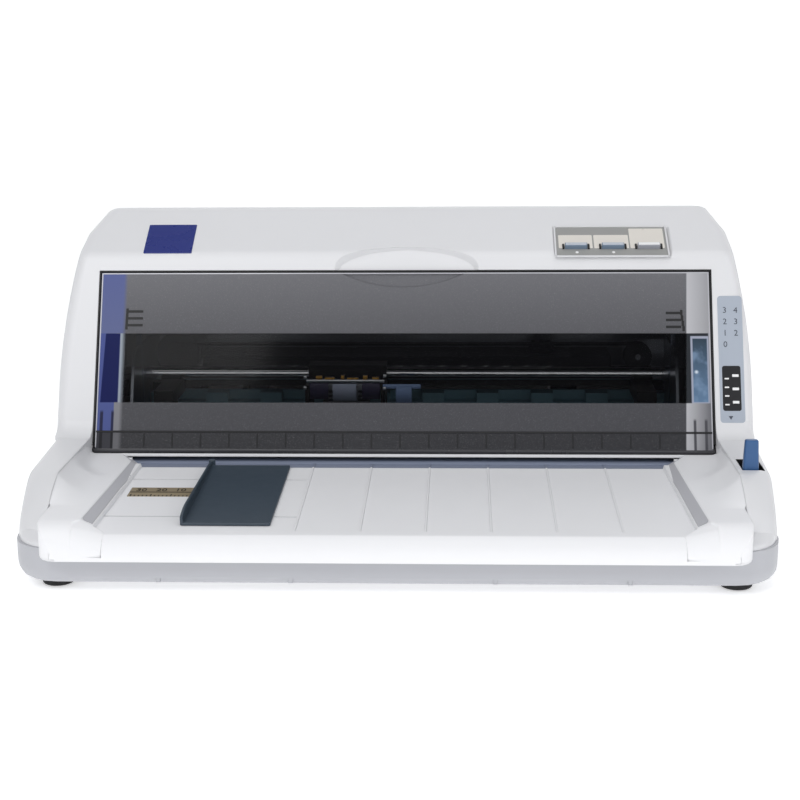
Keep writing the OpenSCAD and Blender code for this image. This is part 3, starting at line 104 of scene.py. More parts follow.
# %% [markdown]
# ## Surfaces from numpy grids
# Nearly every small part of the machine is a ring of points carried along a path: a knob is a circle
# carried along its axis, a plate is a rounded rectangle carried up through its thickness. So one helper
# joins neighbouring points of a grid of points into quads, closes both ends, and turns the faces
# outwards. The test for outwards is the signed volume, which is the sum of the small tetrahedra between
# the origin and each triangle, and is positive when the faces look out. Primitives with a Bevel modifier
# could make most of these parts as well, but a formula says each radius in one place.

# %% Helpers that turn grids of points into pieces
def grid_quads(rows, cols, wrap_cols):
    """Faces of a rows by cols grid: point (i, j) is joined to (i, j+1), (i+1, j+1) and (i+1, j)."""
    i, j = np.meshgrid(np.arange(rows - 1), np.arange(cols if wrap_cols else cols - 1), indexing="ij")
    k = (j + 1) % cols
    return np.stack([i * cols + j, i * cols + k, (i + 1) * cols + k, (i + 1) * cols + j], -1).reshape(-1, 4)


def signed_volume(points, faces):
    """Sum over each face's fan of triangles of a . (b x c) / 6."""
    total = 0.0
    for face in faces:
        a, b, c = points[face[0]], points[face[1:-1]], points[face[2:]]
        total += float(np.einsum("j,ij->", a, np.cross(b, c)))
    return total / 6.0


def smooth_mesh(name, points, faces):
    """Mesh data from an (n, 3) array in metres, with smooth faces."""
    mesh = bpy.data.meshes.new(name)
    mesh.from_pydata(points.tolist(), [], faces)
    mesh.polygons.foreach_set("use_smooth", np.ones(len(faces), bool))
    mesh.update()
    return mesh


def outward(points, faces):
    """The faces as lists of whole numbers, each turned round when the solid's volume is negative."""
    faces = [list(map(int, face)) for face in faces]
    return [face[::-1] for face in faces] if signed_volume(points, faces) < 0 else faces


def loft_mesh(rings):
    """Points and faces of a closed solid through (m, n, 3) rings: quads between rings, a cap on each end."""
    rings = np.asarray(rings, float)
    m, n = rings.shape[:2]
    faces = grid_quads(m, n, True).tolist()
    faces.append(list(range(n))[::-1])
    faces.append([(m - 1) * n + j for j in range(n)])
    return rings.reshape(-1, 3), faces


def joined(parts):
    """One mesh from several (points, faces) pairs: face numbers move up by the number of points before."""
    points, faces, start = [], [], 0
    for part_points, part_faces in parts:
        points.append(part_points)
        faces.extend([[v + start for v in face] for face in outward(part_points, part_faces)])
        start += len(part_points)
    return np.concatenate(points), faces


def keep_edges(piece, angle=32):
    """Edges sharper than the angle stay crisp and the rest shade smoothly, with large faces kept flat."""
    split = piece.modifiers.new("edges", "EDGE_SPLIT")
    split.split_angle = math.radians(angle)
    weigh = piece.modifiers.new("flat_faces", "WEIGHTED_NORMAL")
    weigh.weight = 60
    return piece


def dress(name, mesh, body, slot, finish=None, crisp=None):
    """A piece from one closed mesh or a list of them, riding on a body. Its finish is the slot's own unless
    another is given, and edges sharper than crisp degrees stay sharp."""
    points, faces = joined(mesh) if isinstance(mesh, list) else mesh
    piece = link_object(name, smooth_mesh(name, points, outward(points, faces)))
    piece.data.materials.append(finish or MATERIALS[slot])
    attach(piece, body)
    return keep_edges(piece, crisp) if crisp else piece


print("helpers ready")

# %% [markdown]
# ## Places on the machine
# Three slanted planes carry nearly all of the trim: the window face, the control face above it and the
# bed of the paper table. A place on one of them is across, up the slope and out of the face, and a small
# function turns such places into room coordinates by adding up the plane's three directions. Turning each
# object would do the same, but then its grain would turn with it, so the place goes into the mesh.

# %% Local planes of the machine
def plane(origin, tilt):
    """Function from places (across, up, out) in metres to room points: origin + across X + up (0, cos, sin)
    + out (0, -sin, cos), where cos and sin are those of the tilt."""
    c, s = math.cos(math.radians(tilt)), math.sin(math.radians(tilt))

    def place(across, upward, out):
        a, u, o = np.broadcast_arrays(*(np.asarray(v, float) for v in (across, upward, out)))
        return np.stack([origin[0] + a, origin[1] + u * c - o * s, origin[2] + u * s + o * c], -1)

    return place


MM = 0.001
WINDOW_TILT, CONTROL_TILT, BED_TILT = 66.75, 31.0, 2.5
BED_Y, BED_Z = -0.0510, 0.0438
on_window = plane((0.0, -0.0342, 0.0489), WINDOW_TILT)
on_control = plane((0.0, 0.02148, 0.1785), CONTROL_TILT)
on_bed = plane((0.0, BED_Y, BED_Z), BED_TILT)
on_floor = plane((0.0, 0.0, 0.0), 0.0)


def rounded_outline(width, height, radius, steps=6):
    """Rounded rectangle: each corner's centre plus radius (cos a, sin a) over its quarter turn."""
    radius = min(radius, width / 2 - 1e-6, height / 2 - 1e-6)
    quarter = np.linspace(0, math.pi / 2, steps + 1)
    corners = [(1, 1, 0), (-1, 1, 1), (-1, -1, 2), (1, -1, 3)]
    return np.concatenate([
        np.stack([sx * (width / 2 - radius) + radius * np.cos(quarter + k * math.pi / 2),
                  sy * (height / 2 - radius) + radius * np.sin(quarter + k * math.pi / 2)], -1)
        for sx, sy, k in corners])


def plate_mesh(place, centre, size, radius, low, high, edge=0.0003):
    """A rounded plate from low to high out of the face, whose upper edge is a quarter circle of radius edge:
    the outline draws in by edge (1 - cos a) while it climbs by edge sin a."""
    rings = [(0.0, low), (0.0, high - edge)]
    rings += [(edge * (1 - math.cos(a)), high - edge + edge * math.sin(a))
              for a in np.linspace(0.3, math.pi / 2, 4)]
    shaped = []
    for inset, out in rings:
        o = rounded_outline(size[0] - 2 * inset, size[1] - 2 * inset, max(radius - inset, edge * 0.2))
        shaped.append(place(centre[0] + o[:, 0], centre[1] + o[:, 1], np.full(len(o), out)))
    return loft_mesh(shaped)


def turned_mesh(profile, axis, centre, count=64, ripple=None):
    """A turned part: each (along, radius) of the profile becomes a circle round the axis. ripple(angle, k)
    scales the radius, such as for a knurled rim."""
    around = np.linspace(0, 2 * math.pi, count, endpoint=False)
    rings = []
    for k, (along, radius) in enumerate(profile):
        r = radius * (np.ones(count) if ripple is None else ripple(around, k))
        a, b = r * np.cos(around), r * np.sin(around)
        c = np.full(count, along)
        ring = {"x": (c, a, b), "z": (a, b, c)}[axis]
        rings.append(np.stack(ring, -1) + np.asarray(centre, float))
    return loft_mesh(rings)


print("control face starts at", on_control(0, 0, 0).round(4).tolist())

# %% [markdown]
# ## Finishes
# One flat colour for each part would look like painted card. A moulding looks real when three small things
# vary: the grain that the mould leaves, a slow drift of the tone, and the gloss. A node group holds that
# recipe once, with its own inputs, and each material places it with different numbers. The Bevel node
# rounds the shading at every sharp edge by about a millimetre, as a real mould does. Steady values such as
# the coat are set on the shader itself.

# %% Short ways to add and join shader nodes
def linear(code):
    """Linear colour from a hex code: c / 12.92 below 0.04045, else ((c + 0.055) / 1.055) to the power 2.4."""
    c = np.array([int(code[i:i + 2], 16) for i in (0, 2, 4)]) / 255
    return [float(v) for v in np.where(c <= 0.04045, c / 12.92, ((c + 0.055) / 1.055) ** 2.4)] + [1.0]


def fill(tree, node, values):
    """The node, with each input linked to an output or set to a plain value."""
    for socket, value in dict(values).items():
        if isinstance(value, bpy.types.NodeSocket):
            tree.links.new(value, node.inputs[socket])
        else:
            node.inputs[socket].default_value = value
    return node


def add(tree, kind, values=(), **settings):
    """A node of a kind, with settings on the node and values on its inputs."""
    node = tree.nodes.new("ShaderNode" + kind)
    for key, value in settings.items():
        setattr(node, key, value)
    return fill(tree, node, values)


def calc(tree, operation, a, b=0.0, c=0.0):
    """Output of a Math node on a, b and c."""
    return add(tree, "Math", {0: a, 1: b, 2: c}, operation=operation).outputs[0]


def swing(tree, value, gain, base=0.0):
    """base + (value - 0.5) gain."""
    return calc(tree, "MULTIPLY_ADD", calc(tree, "SUBTRACT", value, 0.5), gain, base)


def scaled(tree, colour, factor):
    """A colour times a factor."""
    return add(tree, "VectorMath", {0: colour, "Scale": factor}, operation="SCALE").outputs[0]


def blend(tree, share, a, b):
    """Colour a where share is 0 and b where it is 1. A hex code stands for its linear colour."""
    a, b = (linear(v) if isinstance(v, str) else v for v in (a, b))
    return add(tree, "Mix", {0: share, 6: a, 7: b}, data_type="RGBA").outputs[2]


def new_group(name, inputs, outputs):
    """An empty node group with (name, kind, default) inputs and (name, kind) outputs. Returns the tree, the
    input node and the output node."""
    tree = bpy.data.node_groups.new(name, "ShaderNodeTree")
    for label, kind, default in inputs:
        socket = tree.interface.new_socket(label, in_out="INPUT", socket_type="NodeSocket" + kind)
        socket.default_value = default
    for label, kind in outputs:
        tree.interface.new_socket(label, in_out="OUTPUT", socket_type="NodeSocket" + kind)
    return tree, tree.nodes.new("NodeGroupInput"), tree.nodes.new("NodeGroupOutput")


def place_group(tree, group, values):
    """A group placed in a material's tree with its input values."""
    node = tree.nodes.new("ShaderNodeGroup")
    node.node_tree = group
    return fill(tree, node, values)


def noise(tree, scale, detail=2.0):
    """Noise over Object coordinates."""
    where = add(tree, "TexCoord").outputs["Object"]
    return add(tree, "TexNoise", {"Vector": where, "Scale": scale, "Detail": detail}).outputs[0]


def new_material(name):
    """An empty node material and its tree."""
    material = bpy.data.materials.new(name)
    material.use_nodes = True
    material.node_tree.nodes.clear()
    return material, material.node_tree


print("shader helpers ready")

# %% The groups: moulded grain, drawn metal and settled dust
SURFACE = [("Color", "Color"), ("Roughness", "Float"), ("Height", "Float")]
WHITE = (1, 1, 1, 1)

moulded, g_in, g_out = new_group("moulded_grain", [
    ("Colour", "Color", WHITE), ("Gloss", "Float", 0.4), ("Drift", "Float", 0.03),
    ("Grain", "Float", 1500.0)], SURFACE)
given = g_in.outputs
patches = noise(moulded, 90.0, 3.0)
drift = swing(moulded, noise(moulded, 7.0), 1.6, swing(moulded, patches, 0.5))
drift = calc(moulded, "MULTIPLY_ADD", drift, given["Drift"], 1.0)
fill(moulded, g_out, {"Color": scaled(moulded, given["Colour"], drift),
                      "Roughness": swing(moulded, patches, 0.16, given["Gloss"]),
                      "Height": noise(moulded, given["Grain"], 3.0)})

drawn, g_in, g_out = new_group("drawn_metal", [
    ("Colour", "Color", WHITE), ("Gloss", "Float", 0.3), ("Streaks", "Vector", (1, 1, 1)),
    ("Drift", "Float", 0.1)], SURFACE)
given = g_in.outputs
where = add(drawn, "VectorMath", {0: add(drawn, "TexCoord").outputs["Object"], 1: given["Streaks"]},
            operation="MULTIPLY").outputs[0]
streak = add(drawn, "TexNoise", {"Vector": where, "Scale": 1.0, "Detail": 4.0}).outputs[0]
gloss = swing(drawn, noise(drawn, 30.0), 0.2, given["Gloss"])
fill(drawn, g_out, {"Color": scaled(drawn, given["Colour"], swing(drawn, streak, given["Drift"], 1.0)),
                    "Roughness": swing(drawn, streak, 0.15, gloss), "Height": streak})

dusty, g_in, g_out = new_group(
    "settled_dust", [("Colour", "Color", WHITE), ("Amount", "Float", 0.2)], [("Color", "Color")])
faces_up = add(dusty, "SeparateXYZ", {0: add(dusty, "NewGeometry").outputs["Normal"]}).outputs[2]
patch = calc(dusty, "MULTIPLY", noise(dusty, 260.0, 4.0), calc(dusty, "MAXIMUM", faces_up, 0.0))
share = calc(dusty, "MULTIPLY", calc(dusty, "POWER", patch, 2.0), g_in.outputs["Amount"])
fill(dusty, g_out, {"Color": blend(dusty, share, g_in.outputs["Colour"], "B9B4AA")})
print("groups", [g.name for g in bpy.data.node_groups])


# %% Materials for mouldings, metals and rubber
def finish(name, group, values, bump, bevel, dust, shader):
    """A material: a group's colour, roughness and height on a Principled shader, with rounded edges. bump is
    in micrometres and bevel in millimetres."""
    material, tree = new_material(name)
    grain = place_group(tree, group, values)
    colour = grain.outputs["Color"]
    if dust:
        colour = place_group(tree, dusty, {"Colour": colour, "Amount": dust}).outputs[0]
    normal = {"Height": grain.outputs["Height"], "Strength": 1.0, "Distance": bump * 1e-6}
    if bevel:
        normal["Normal"] = add(tree, "Bevel", {"Radius": bevel * MM}, samples=4).outputs[0]
    surface = add(tree, "BsdfPrincipled", {
        "Base Color": colour, "Roughness": grain.outputs["Roughness"],
        "Normal": add(tree, "Bump", normal).outputs[0], **shader})
    add(tree, "OutputMaterial", {"Surface": surface.outputs[0]})
    return material


def plastic(name, code, gloss=0.42, drift=0.03, grain=1500.0, bump=20, bevel=0.6, dust=0.0, **more):
    """A moulded plastic of one hex colour. Further names are inputs of the shader, such as Coat_Weight."""
    values = {"Colour": linear(code), "Gloss": gloss, "Drift": drift, "Grain": grain}
    shader = {key.replace("_", " "): value for key, value in more.items()}
    return finish(name, moulded, values, bump, bevel, dust, shader)


def metal(name, code, gloss=0.3, streaks=(40.0, 1400.0, 1400.0), drift=0.12, dust=0.0):
    """A metal whose streaks run along the axis with the smallest number."""
    values = {"Colour": linear(code), "Gloss": gloss, "Streaks": streaks, "Drift": drift}
    return finish(name, drawn, values, 6, 0.3, dust, {"Metallic": 1.0})


PLASTICS = {  # colour, gloss, drift, grain, bump in micrometres, bevel in millimetres, dust
    "housing_white": ("E4E4E6", 0.38, 0.025, 1900.0, 12, 1.1),
    "housing_grey": ("B9BABF", 0.42, 0.03, 1700.0, 20, 1.1),
    "table_grey": ("F4F4F6", 0.45, 0.025, 1500.0, 18, 0.7),
    "guide_slate": ("3A4753", 0.4, 0.08, 1300.0, 30, 0.6),
    "inlet_slate": ("858DA2", 0.45, 0.06, 1300.0, 20, 0.4),
    "panel_cream": ("A8A8A2", 0.3, 0.03, 900.0, 6, 0.3),
    "button_blue": ("8C9CB0", 0.35, 0.04, 1500.0, 10, 0.5),
    "lever_blue": ("2F5A8C", 0.3, 0.08, 1400.0, 15, 0.6),
    "foot_rubber": ("1C1C1E", 0.75, 0.2, 900.0, 60, 0.6, 0.5),
    "roller_rubber": ("232325", 0.6, 0.15, 1200.0, 40, 0.3, 0.3),
    "pinch_teal": ("3B7787", 0.4, 0.08, 1200.0, 20, 0.3),
    "black_plastic": ("17171A", 0.45, 0.2, 1300.0, 30, 0.5, 0.25),
    "ribbon_fabric": ("0B0B0D", 0.85, 0.3, 2600.0, 60, 0.0),
    "knob_grey": ("45474C", 0.45, 0.08, 1400.0, 30, 0.6),
    "belt_rubber": ("151517", 0.65, 0.2, 1500.0, 40, 0.0, 0.3),
    "board_green": ("1D5A3A", 0.3, 0.16, 700.0, 30, 0.2, 0.35),
    "board_brown": ("8A6B3C", 0.5, 0.14, 700.0, 30, 0.2, 0.35),
    "holder_teal": ("8DBBCB", 0.42, 0.07, 1200.0, 20, 0.4),
}
METALS = {  # colour, gloss, streaks along X, Y and Z, drift, dust
    "sheet_steel": ("A9ADB5", 0.34, (30.0, 700.0, 30.0), 0.1, 0.25),
    "ground_steel": ("E6E8EC", 0.12, (1500.0, 20.0, 20.0), 0.05),
    "steel": ("B9BCC2", 0.26, (900.0, 60.0, 60.0), 0.1),
    "head_aluminium": ("A9ADB4", 0.42, (500.0, 500.0, 500.0), 0.14, 0.2),
    "pinion_brass": ("C9A55A", 0.28, (300.0, 300.0, 300.0), 0.12),
    "motor_dark": ("4A4C50", 0.36, (60.0, 500.0, 500.0), 0.15, 0.3),
}
MATERIALS = {name: plastic(name, *row) for name, row in PLASTICS.items()}
MATERIALS.update({name: metal(name, *row) for name, row in METALS.items()})
MATERIALS["gear_nylon"] = plastic("gear_nylon", "DEDACB", 0.4, 0.05, 1100.0, 20, 0.2, 0.4,
                                  Subsurface_Weight=0.1)
print("materials", len(MATERIALS))

# %% [markdown]
# ## Dressing the solids
# Each solid keeps its shape and takes the finish that its record names. Flat shading would show every
# facet of the round corners, and smooth shading alone would smear the flat walls. Its triangles arrive
# loose, so a Weld modifier joins them first. Then edges sharper than about 30 degrees are split, which
# keeps them crisp, and the curved walls between them shade smoothly.

# %% Give every solid its finish
for row in frame["record"]["subparts"]:
    solid = nodes[row["node"]]
    solid.data.materials.clear()
    solid.data.materials.append(MATERIALS.get(row["material_slot"], MATERIALS["black_plastic"]))
    solid.data.polygons.foreach_set("use_smooth", np.ones(len(solid.data.polygons), bool))
    weld = solid.modifiers.new("joined", "WELD")
    weld.merge_threshold = 0.00001
    keep_edges(solid)

# %% [markdown]
# ## The smoked cover
# The cover is one sheet with three bands: frosted at the top, clear in the middle and frosted at the foot.
# The frost is a rough coat of ink on the back of the sheet, so there the sheet hides what is behind it,
# and in the clear band it only darkens it. The sheet carries its own UV map, which holds the place across
# and up the slope in metres, so the bands are comparisons of those two numbers. A painted image could hold
# the bands too, but a comparison stays sharp from any distance and says where each edge lies.
#
# Its front face is a height field. The finger grip is the part of the sheet above an arc, pressed in:
# depth = 1.4 smoothstep(up - arc(x)), where arc(x) = c - sqrt(R^2 - x^2).

# %% Masks over the sheet
bands, g_in, g_out = new_group(
    "window_bands", [("Across", "Float", 0.0), ("Up", "Float", 0.0)], SURFACE + [("Alpha", "Float")])
across, upward = g_in.outputs[0], g_in.outputs[1]


def ramp(value, low, high, start=0.0, end=1.0):
    """start up to low, end from high on, and a straight run between them."""
    return add(bands, "MapRange", {0: value, 1: low, 2: high, 3: start, 4: end}).outputs[0]


def past(value, edge, soft=0.0003):
    """0 below the edge and 1 above it, over a width of 2 soft."""
    return ramp(value, edge - soft, edge + soft)


def outside(mask):
    """1 where the mask is 0."""
    return calc(bands, "SUBTRACT", 1.0, mask)


def before(value, edge, soft=0.0003):
    """1 below the edge and 0 above it."""
    return outside(past(value, edge, soft))


def both(a, b):
    """1 where a and b are 1."""
    return calc(bands, "MULTIPLY", a, b)


def either(a, b):
    """1 where a or b is 1."""
    return calc(bands, "MAXIMUM", a, b)


def between(value, low, high):
    """1 between two edges and 0 outside them."""
    return both(past(value, low), before(value, high))


def panel(x0, x1, s0, s1):
    """1 inside a rectangle between two places across and two up the slope."""
    return both(between(across, x0, x1), between(upward, s0, s1))


def posts(first, second, high):
    """1 in two narrow columns, up to a height."""
    return both(either(between(across, *first), between(across, *second)), before(upward, high, 0.001))


def slanted(drift):
    """The place across, less drift metres for each metre up the slope."""
    return line(upward, -drift, across)


def line(value, gain, base):
    """value gain + base."""
    return calc(bands, "MULTIPLY_ADD", value, gain, base)


def tint(share, a, b):
    """Tone a where share is 0 and b where it is 1."""
    return blend(bands, share, a, b)


CLEAR_LOW, CLEAR_HIGH, RIB_HIGH = 0.0355, 0.0842, 0.0148
LEFT_STRIP, RIGHT_STRIP = -0.1942, 0.1930
top, foot = past(upward, CLEAR_HIGH), before(upward, CLEAR_LOW)
ribbed = before(upward, RIB_HIGH)
frost = either(top, foot)
left = before(across, LEFT_STRIP, 0.0014)
right = past(slanted(0.024), RIGHT_STRIP, 0.0004)
inner = outside(either(left, right))
print("masks ready")

# %% The tones of the bands and the cover's material
# the frosted middle, with its ribbed foot
fade = ramp(upward, 0.083, 0.129)
speckle = both(past(noise(bands, 2300.0, 1.0), 0.66, 0.03), 0.16)
middle = tint(top, tint(ribbed, "4F4F53", "3C3C3F"), tint(fade, "5C5C60", "727276"))
middle = tint(frost, "08080B", tint(speckle, middle, "C4C4C8"))

# the left strip, where a blue plate behind the sheet shines through
navy = both(past(slanted(0.045), -0.2106), before(across, -0.1967))
left_clear = tint(past(across, -0.1966), tint(navy, "4A5590", "0B1650"), "9AA2AC")
plate_end = past(across, -0.1992)
left_low = tint(ribbed, tint(plate_end, "4F5A92", "85858A"), tint(plate_end, "3E3E44", "6A6A6E"))
left_posts = posts((-0.2086, -0.2064), (-0.2008, -0.1990), 0.0294)
left_low = tint(left_posts, left_low, tint(ribbed, "2A2C48", "26262A"))
left_tone = tint(frost, left_clear, tint(top, left_low, tint(fade, "626A92", "5A6396")))

# the right strip, where the pale side cheek and the window of the thickness lever lie behind the sheet
# painted light: the lever window's glass is lighter towards the bottom, as if lit there
glass_painted_light = ramp(upward, 0.036, 0.082, 1.0, 0.0)
cloud = past(noise(bands, 120.0), 0.56, 0.12)
glass = tint(both(cloud, 0.5), tint(glass_painted_light, "36434F", "66819F"), "8FA9C8")
pane, pane_rim = panel(0.1989, 0.2088, 0.0362, 0.0805), panel(0.1976, 0.2098, 0.0350, 0.0822)
right_clear = tint(pane_rim, tint(past(across, 0.2098), "303338", "9A9AA2"), "A4A9BA")
right_clear = tint(pane, right_clear, glass)
# painted highlight: a small pale disc on the glass is a painted glint
here = add(bands, "CombineXYZ", {0: across, 1: upward}).outputs[0]
painted_glint = add(bands, "VectorMath", {0: here, 1: (0.2012, 0.0572, 0.0)}, operation="DISTANCE").outputs["Value"]
right_clear = tint(before(painted_glint, 0.0008, 0.0008), right_clear, "E6F0FA")
slope = ramp(across, 0.1945, 0.2095)
right_posts = posts((0.1984, 0.2002), (0.2059, 0.2078), 0.0240)
right_low = tint(right_posts, tint(slope, "BEBEC2", "77777C"), "55555A")
right_tone = tint(frost, right_clear, tint(top, right_low, tint(slope, "C2C2C6", "A2A2A6")))

# all of it, with the dark border, which is painted shadow of the gap round the sheet, and the dark line above
# the ribs; the sheet hides 95% of what is behind it, but only a third in the lower part of the clear band and
# six tenths in the upper part, where the denser tint is painted shade
tone = tint(left, tint(right, middle, right_tone), left_tone)
border = either(past(calc(bands, "ABSOLUTE", across), 0.2112), past(upward, 0.12745))
tone = tint(border, tone, "0B0B0D")
tone = tint(both(between(upward, 0.0144, 0.0158), 0.6), tone, "1E1E22")
# painted shade: the upper part of the clear band hides more of what is behind it
painted_shade_step = line(past(upward, 0.0600, 0.0020), -0.45, 1.0)
hides = line(both(both(outside(frost), inner), painted_shade_step), -0.62, 0.95)
rough = line(noise(bands, 25.0), 0.05, line(either(frost, either(left, right)), 0.25, 0.06))
height = line(frost, both(noise(bands, 1600.0), 0.1), noise(bands, 12.0, 1.0))
fill(bands, g_out, {"Color": tone, "Alpha": hides, "Roughness": rough, "Height": height})

MATERIALS["cover_smoke"], tree = new_material("cover_smoke")
place_uv = add(tree, "SeparateXYZ", {0: add(tree, "UVMap", uv_map="place").outputs[0]}).outputs
band = place_group(tree, bands, {"Across": place_uv[0], "Up": place_uv[1]}).outputs
surface = add(tree, "BsdfPrincipled", {
    "Base Color": band["Color"], "Alpha": band["Alpha"], "Roughness": band["Roughness"],
    "IOR": 1.49, "Specular IOR Level": 0.14,
    "Normal": add(tree, "Bump", {"Height": band["Height"], "Distance": 0.0001}).outputs[0]})
add(tree, "OutputMaterial", {"Surface": surface.outputs[0]})
smoke_solid = plastic("smoke_solid", "3A3A3E", 0.25, 0.06, 1500.0, 10, 0.3)
print("nodes in the band group", len(bands.nodes))


# %% The sheet with its finger grip
def stations(low, high, coarse, fine_low, fine_high, fine):
    """Sorted grid stations from low to high: coarse steps, with fine steps between fine_low and fine_high."""
    parts = [np.arange(low, fine_low, coarse), np.arange(fine_low, fine_high, fine),
             np.arange(fine_high, high, coarse)]
    return np.append(np.concatenate(parts), high)


COVER_HALF, COVER_LOW, COVER_HIGH, COVER_T, COVER_ROUND = 0.2121, 0.00275, 0.1283, 0.0025, 0.0006
GRIP_R, GRIP_DROP, GRIP_DEEP = 0.09775, 0.0115, 0.0014


def grip_depth(x, s):
    """Depth of the finger grip: smoothstep of the distance above the arc, 3 t^2 - 2 t^3 over 1.1 mm."""
    arc = COVER_HIGH - GRIP_DROP + GRIP_R - np.sqrt(np.maximum(GRIP_R ** 2 - x ** 2, 1e-8))
    t = np.clip((s - arc) / 0.0011, 0, 1)
    return GRIP_DEEP * t * t * (3 - 2 * t)


def sheet_mesh(half, low, high, edge):
    """Closed shell of the sheet: a front height field, whose border rolls back by a quarter circle, and a
    flat back. The third value is each point's place across and up the slope."""
    xs = stations(-half, half, 0.006, -0.05, 0.05, 0.0006)
    ss = stations(low, high, 0.004, 0.1165, high - 0.0002, 0.0005)
    for step in (0.25, 0.6, 1.0):
        xs = np.append(xs, [-half + step * edge, half - step * edge])
        ss = np.append(ss, [low + step * edge, high - step * edge])
    xs, ss = np.unique(xs.round(6)), np.unique(ss.round(6))
    s, x = np.meshgrid(ss, xs, indexing="ij")
    inset = np.minimum(np.minimum(half - np.abs(x), s - low), high - s)
    rolled = edge - np.sqrt(np.maximum(edge ** 2 - (edge - np.minimum(inset, edge)) ** 2, 0))
    front = on_window(x, s, -rolled - grip_depth(x, s)).reshape(-1, 3)
    back = on_window(x, s, np.full_like(x, -COVER_T)).reshape(-1, 3)
    rows, cols = s.shape
    sheet = grid_quads(rows, cols, False)
    rim = np.concatenate([np.arange(cols), np.arange(1, rows) * cols + cols - 1,
                          (rows - 1) * cols + np.arange(cols - 2, -1, -1), np.arange(rows - 2, 0, -1) * cols])
    after = np.roll(rim, -1)
    skirt = np.stack([rim, rim + rows * cols, after + rows * cols, after], -1)
    faces = np.concatenate([sheet, sheet[:, ::-1] + rows * cols, skirt]).tolist()
    return np.concatenate([front, back]), faces, np.concatenate([np.stack([x, s], -1).reshape(-1, 2)] * 2)


points, faces, flat = sheet_mesh(COVER_HALF, COVER_LOW, COVER_HIGH, COVER_ROUND)
cover = dress("cover_sheet", (points, faces), "cover", "cover_smoke", crisp=50)
layer = cover.data.uv_layers.new(name="place")
loops = np.empty(len(cover.data.loops), np.int32)
cover.data.loops.foreach_get("vertex_index", loops)
layer.data.foreach_set("uv", flat[loops].astype(np.float32).ravel())
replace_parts(cover, "printer_cover")
print("cover faces", len(cover.data.polygons))


# %% Bead, pins, flanges and ribs of the cover
def bar_mesh(place, x0, x1, s0, s1, low, high, edge=0.0002):
    """A bar between two places across and two up the slope, with a rounded upper edge."""
    return plate_mesh(place, ((x0 + x1) / 2, (s0 + s1) / 2), (x1 - x0, s1 - s0), 0.0003, low, high, edge)


def stripe_mesh(place, x, half, *more):
    """A bar that reaches half its width to each side of x."""
    return bar_mesh(place, x - half, x + half, *more)


def in_plane(mesh, place):
    """A mesh drawn in local (across, up, out) places, moved onto a plane."""
    p, faces = mesh
    return place(p[:, 0], p[:, 1], p[:, 2]), faces


HINGE_AXIS = (0, COVER_LOW, -0.00225)
bead = turned_mesh([(-0.2127, 0.0018), (-0.2124, 0.00215), (-0.2119, 0.00225), (0.2119, 0.00225),
                    (0.2124, 0.00215), (0.2127, 0.0018)], "x", HINGE_AXIS, 32)
pins = [turned_mesh([(side * 0.2126, 0.0015), (side * 0.2167, 0.0015), (side * 0.2172, 0.0011)], "x",
                    HINGE_AXIS, 24) for side in (-1, 1)]
flanges = [stripe_mesh(on_window, x, 0.00075, 0.0108, 0.1289, -0.0045, -0.0024) for x in (-0.21195, 0.21195)]
flanges.append(bar_mesh(on_window, -0.2126, 0.2126, 0.1274, 0.1289, -0.0045, -0.0024))
dress("cover_rim", [in_plane(m, on_window) for m in (bead, *pins)] + flanges, "cover", "cover_smoke",
      smoke_solid, 35)

RIB_STEP, RIB_HALF = 0.0196, 0.0005
rib_line = plastic("rib_line", "1A1A1D", 0.65, 0.06)
ribs = [stripe_mesh(on_window, x, RIB_HALF, 0.0042, 0.0139, -0.0002, 0.00022, 0.0001)
        for x in np.arange(-9, 10) * RIB_STEP - 0.001]
ribs.append(bar_mesh(on_window, -0.2108, 0.2108, 0.0144, 0.0157, -0.0002, 0.00025, 0.0001))
dress("cover_ribs", ribs, "cover", "cover_smoke", rib_line, 35)
print("ribs", len(ribs))

# %% [markdown]
# ## Trim round the cover
# A black strip lines the recess round the closed cover. It is painted shadow: the dark line of the gap
# between cover and hood. Just inside it, a thin, glossy pale strip along the sheet's edge is a painted
# highlight. Near the lower corners of the upper frosted band there are two comb-shaped marks that line up
# with the edges of the paper. All of these could be tones in the sheet's bands. As pieces, though, the
# painted shadow can stay on the hood when the cover opens, while the pale strip and the marks swing with the
# cover.

# %% Painted shadow, painted edge highlight and comb marks
# painted shade: a near-black for the gap round the cover, the gaps beside the keys and the lever's slot
gap_shade_black = plastic("gap_shade_black", "0E0E10", 0.5, 0.1, 1500.0, 10, 0.0)
# painted highlight: a pale, glossy tone for the sheet's edge
edge_painted_highlight = plastic("edge_painted_highlight", "BDBDC3", 0.15, 0.05, 1500.0, 2, 0.3, Coat_Weight=0.5)
mark_dark = plastic("mark_dark", "131315", 0.5, 0.1, 1500.0, 4, 0.0)


def frame_bars(half, high, wide, low_s, low, top, edge):
    """Three bars that run up the left side, along the top and down the right side of the window."""
    return [bar_mesh(on_window, -half, -half + wide, low_s, high, low, top, edge),
            bar_mesh(on_window, half - wide, half, low_s, high, low, top, edge),
            bar_mesh(on_window, -half + wide * 0.9, half - wide * 0.9, high - wide, high, low, top, edge)]


def comb_meshes(side, foot, head, low):
    """A slanted stem in four steps from foot to head across, and three teeth that point inwards."""
    bars = []
    for k in range(4):
        x = side * (foot + (head - foot) * (k + 0.5) / 4)
        bars.append(stripe_mesh(on_window, x, 0.0009, low + 0.0150 * k / 4, low + 0.0151 * (k + 1) / 4,
                                -0.0001, 0.00008, 0.00004))
    for s in (low + 0.0031, low + 0.0080, low + 0.0129):
        ends = sorted((side * head, side * 0.1812))
        bars.append(bar_mesh(on_window, *ends, s - 0.0009, s + 0.0009, -0.0001, 0.00007, 0.00004))
    return bars


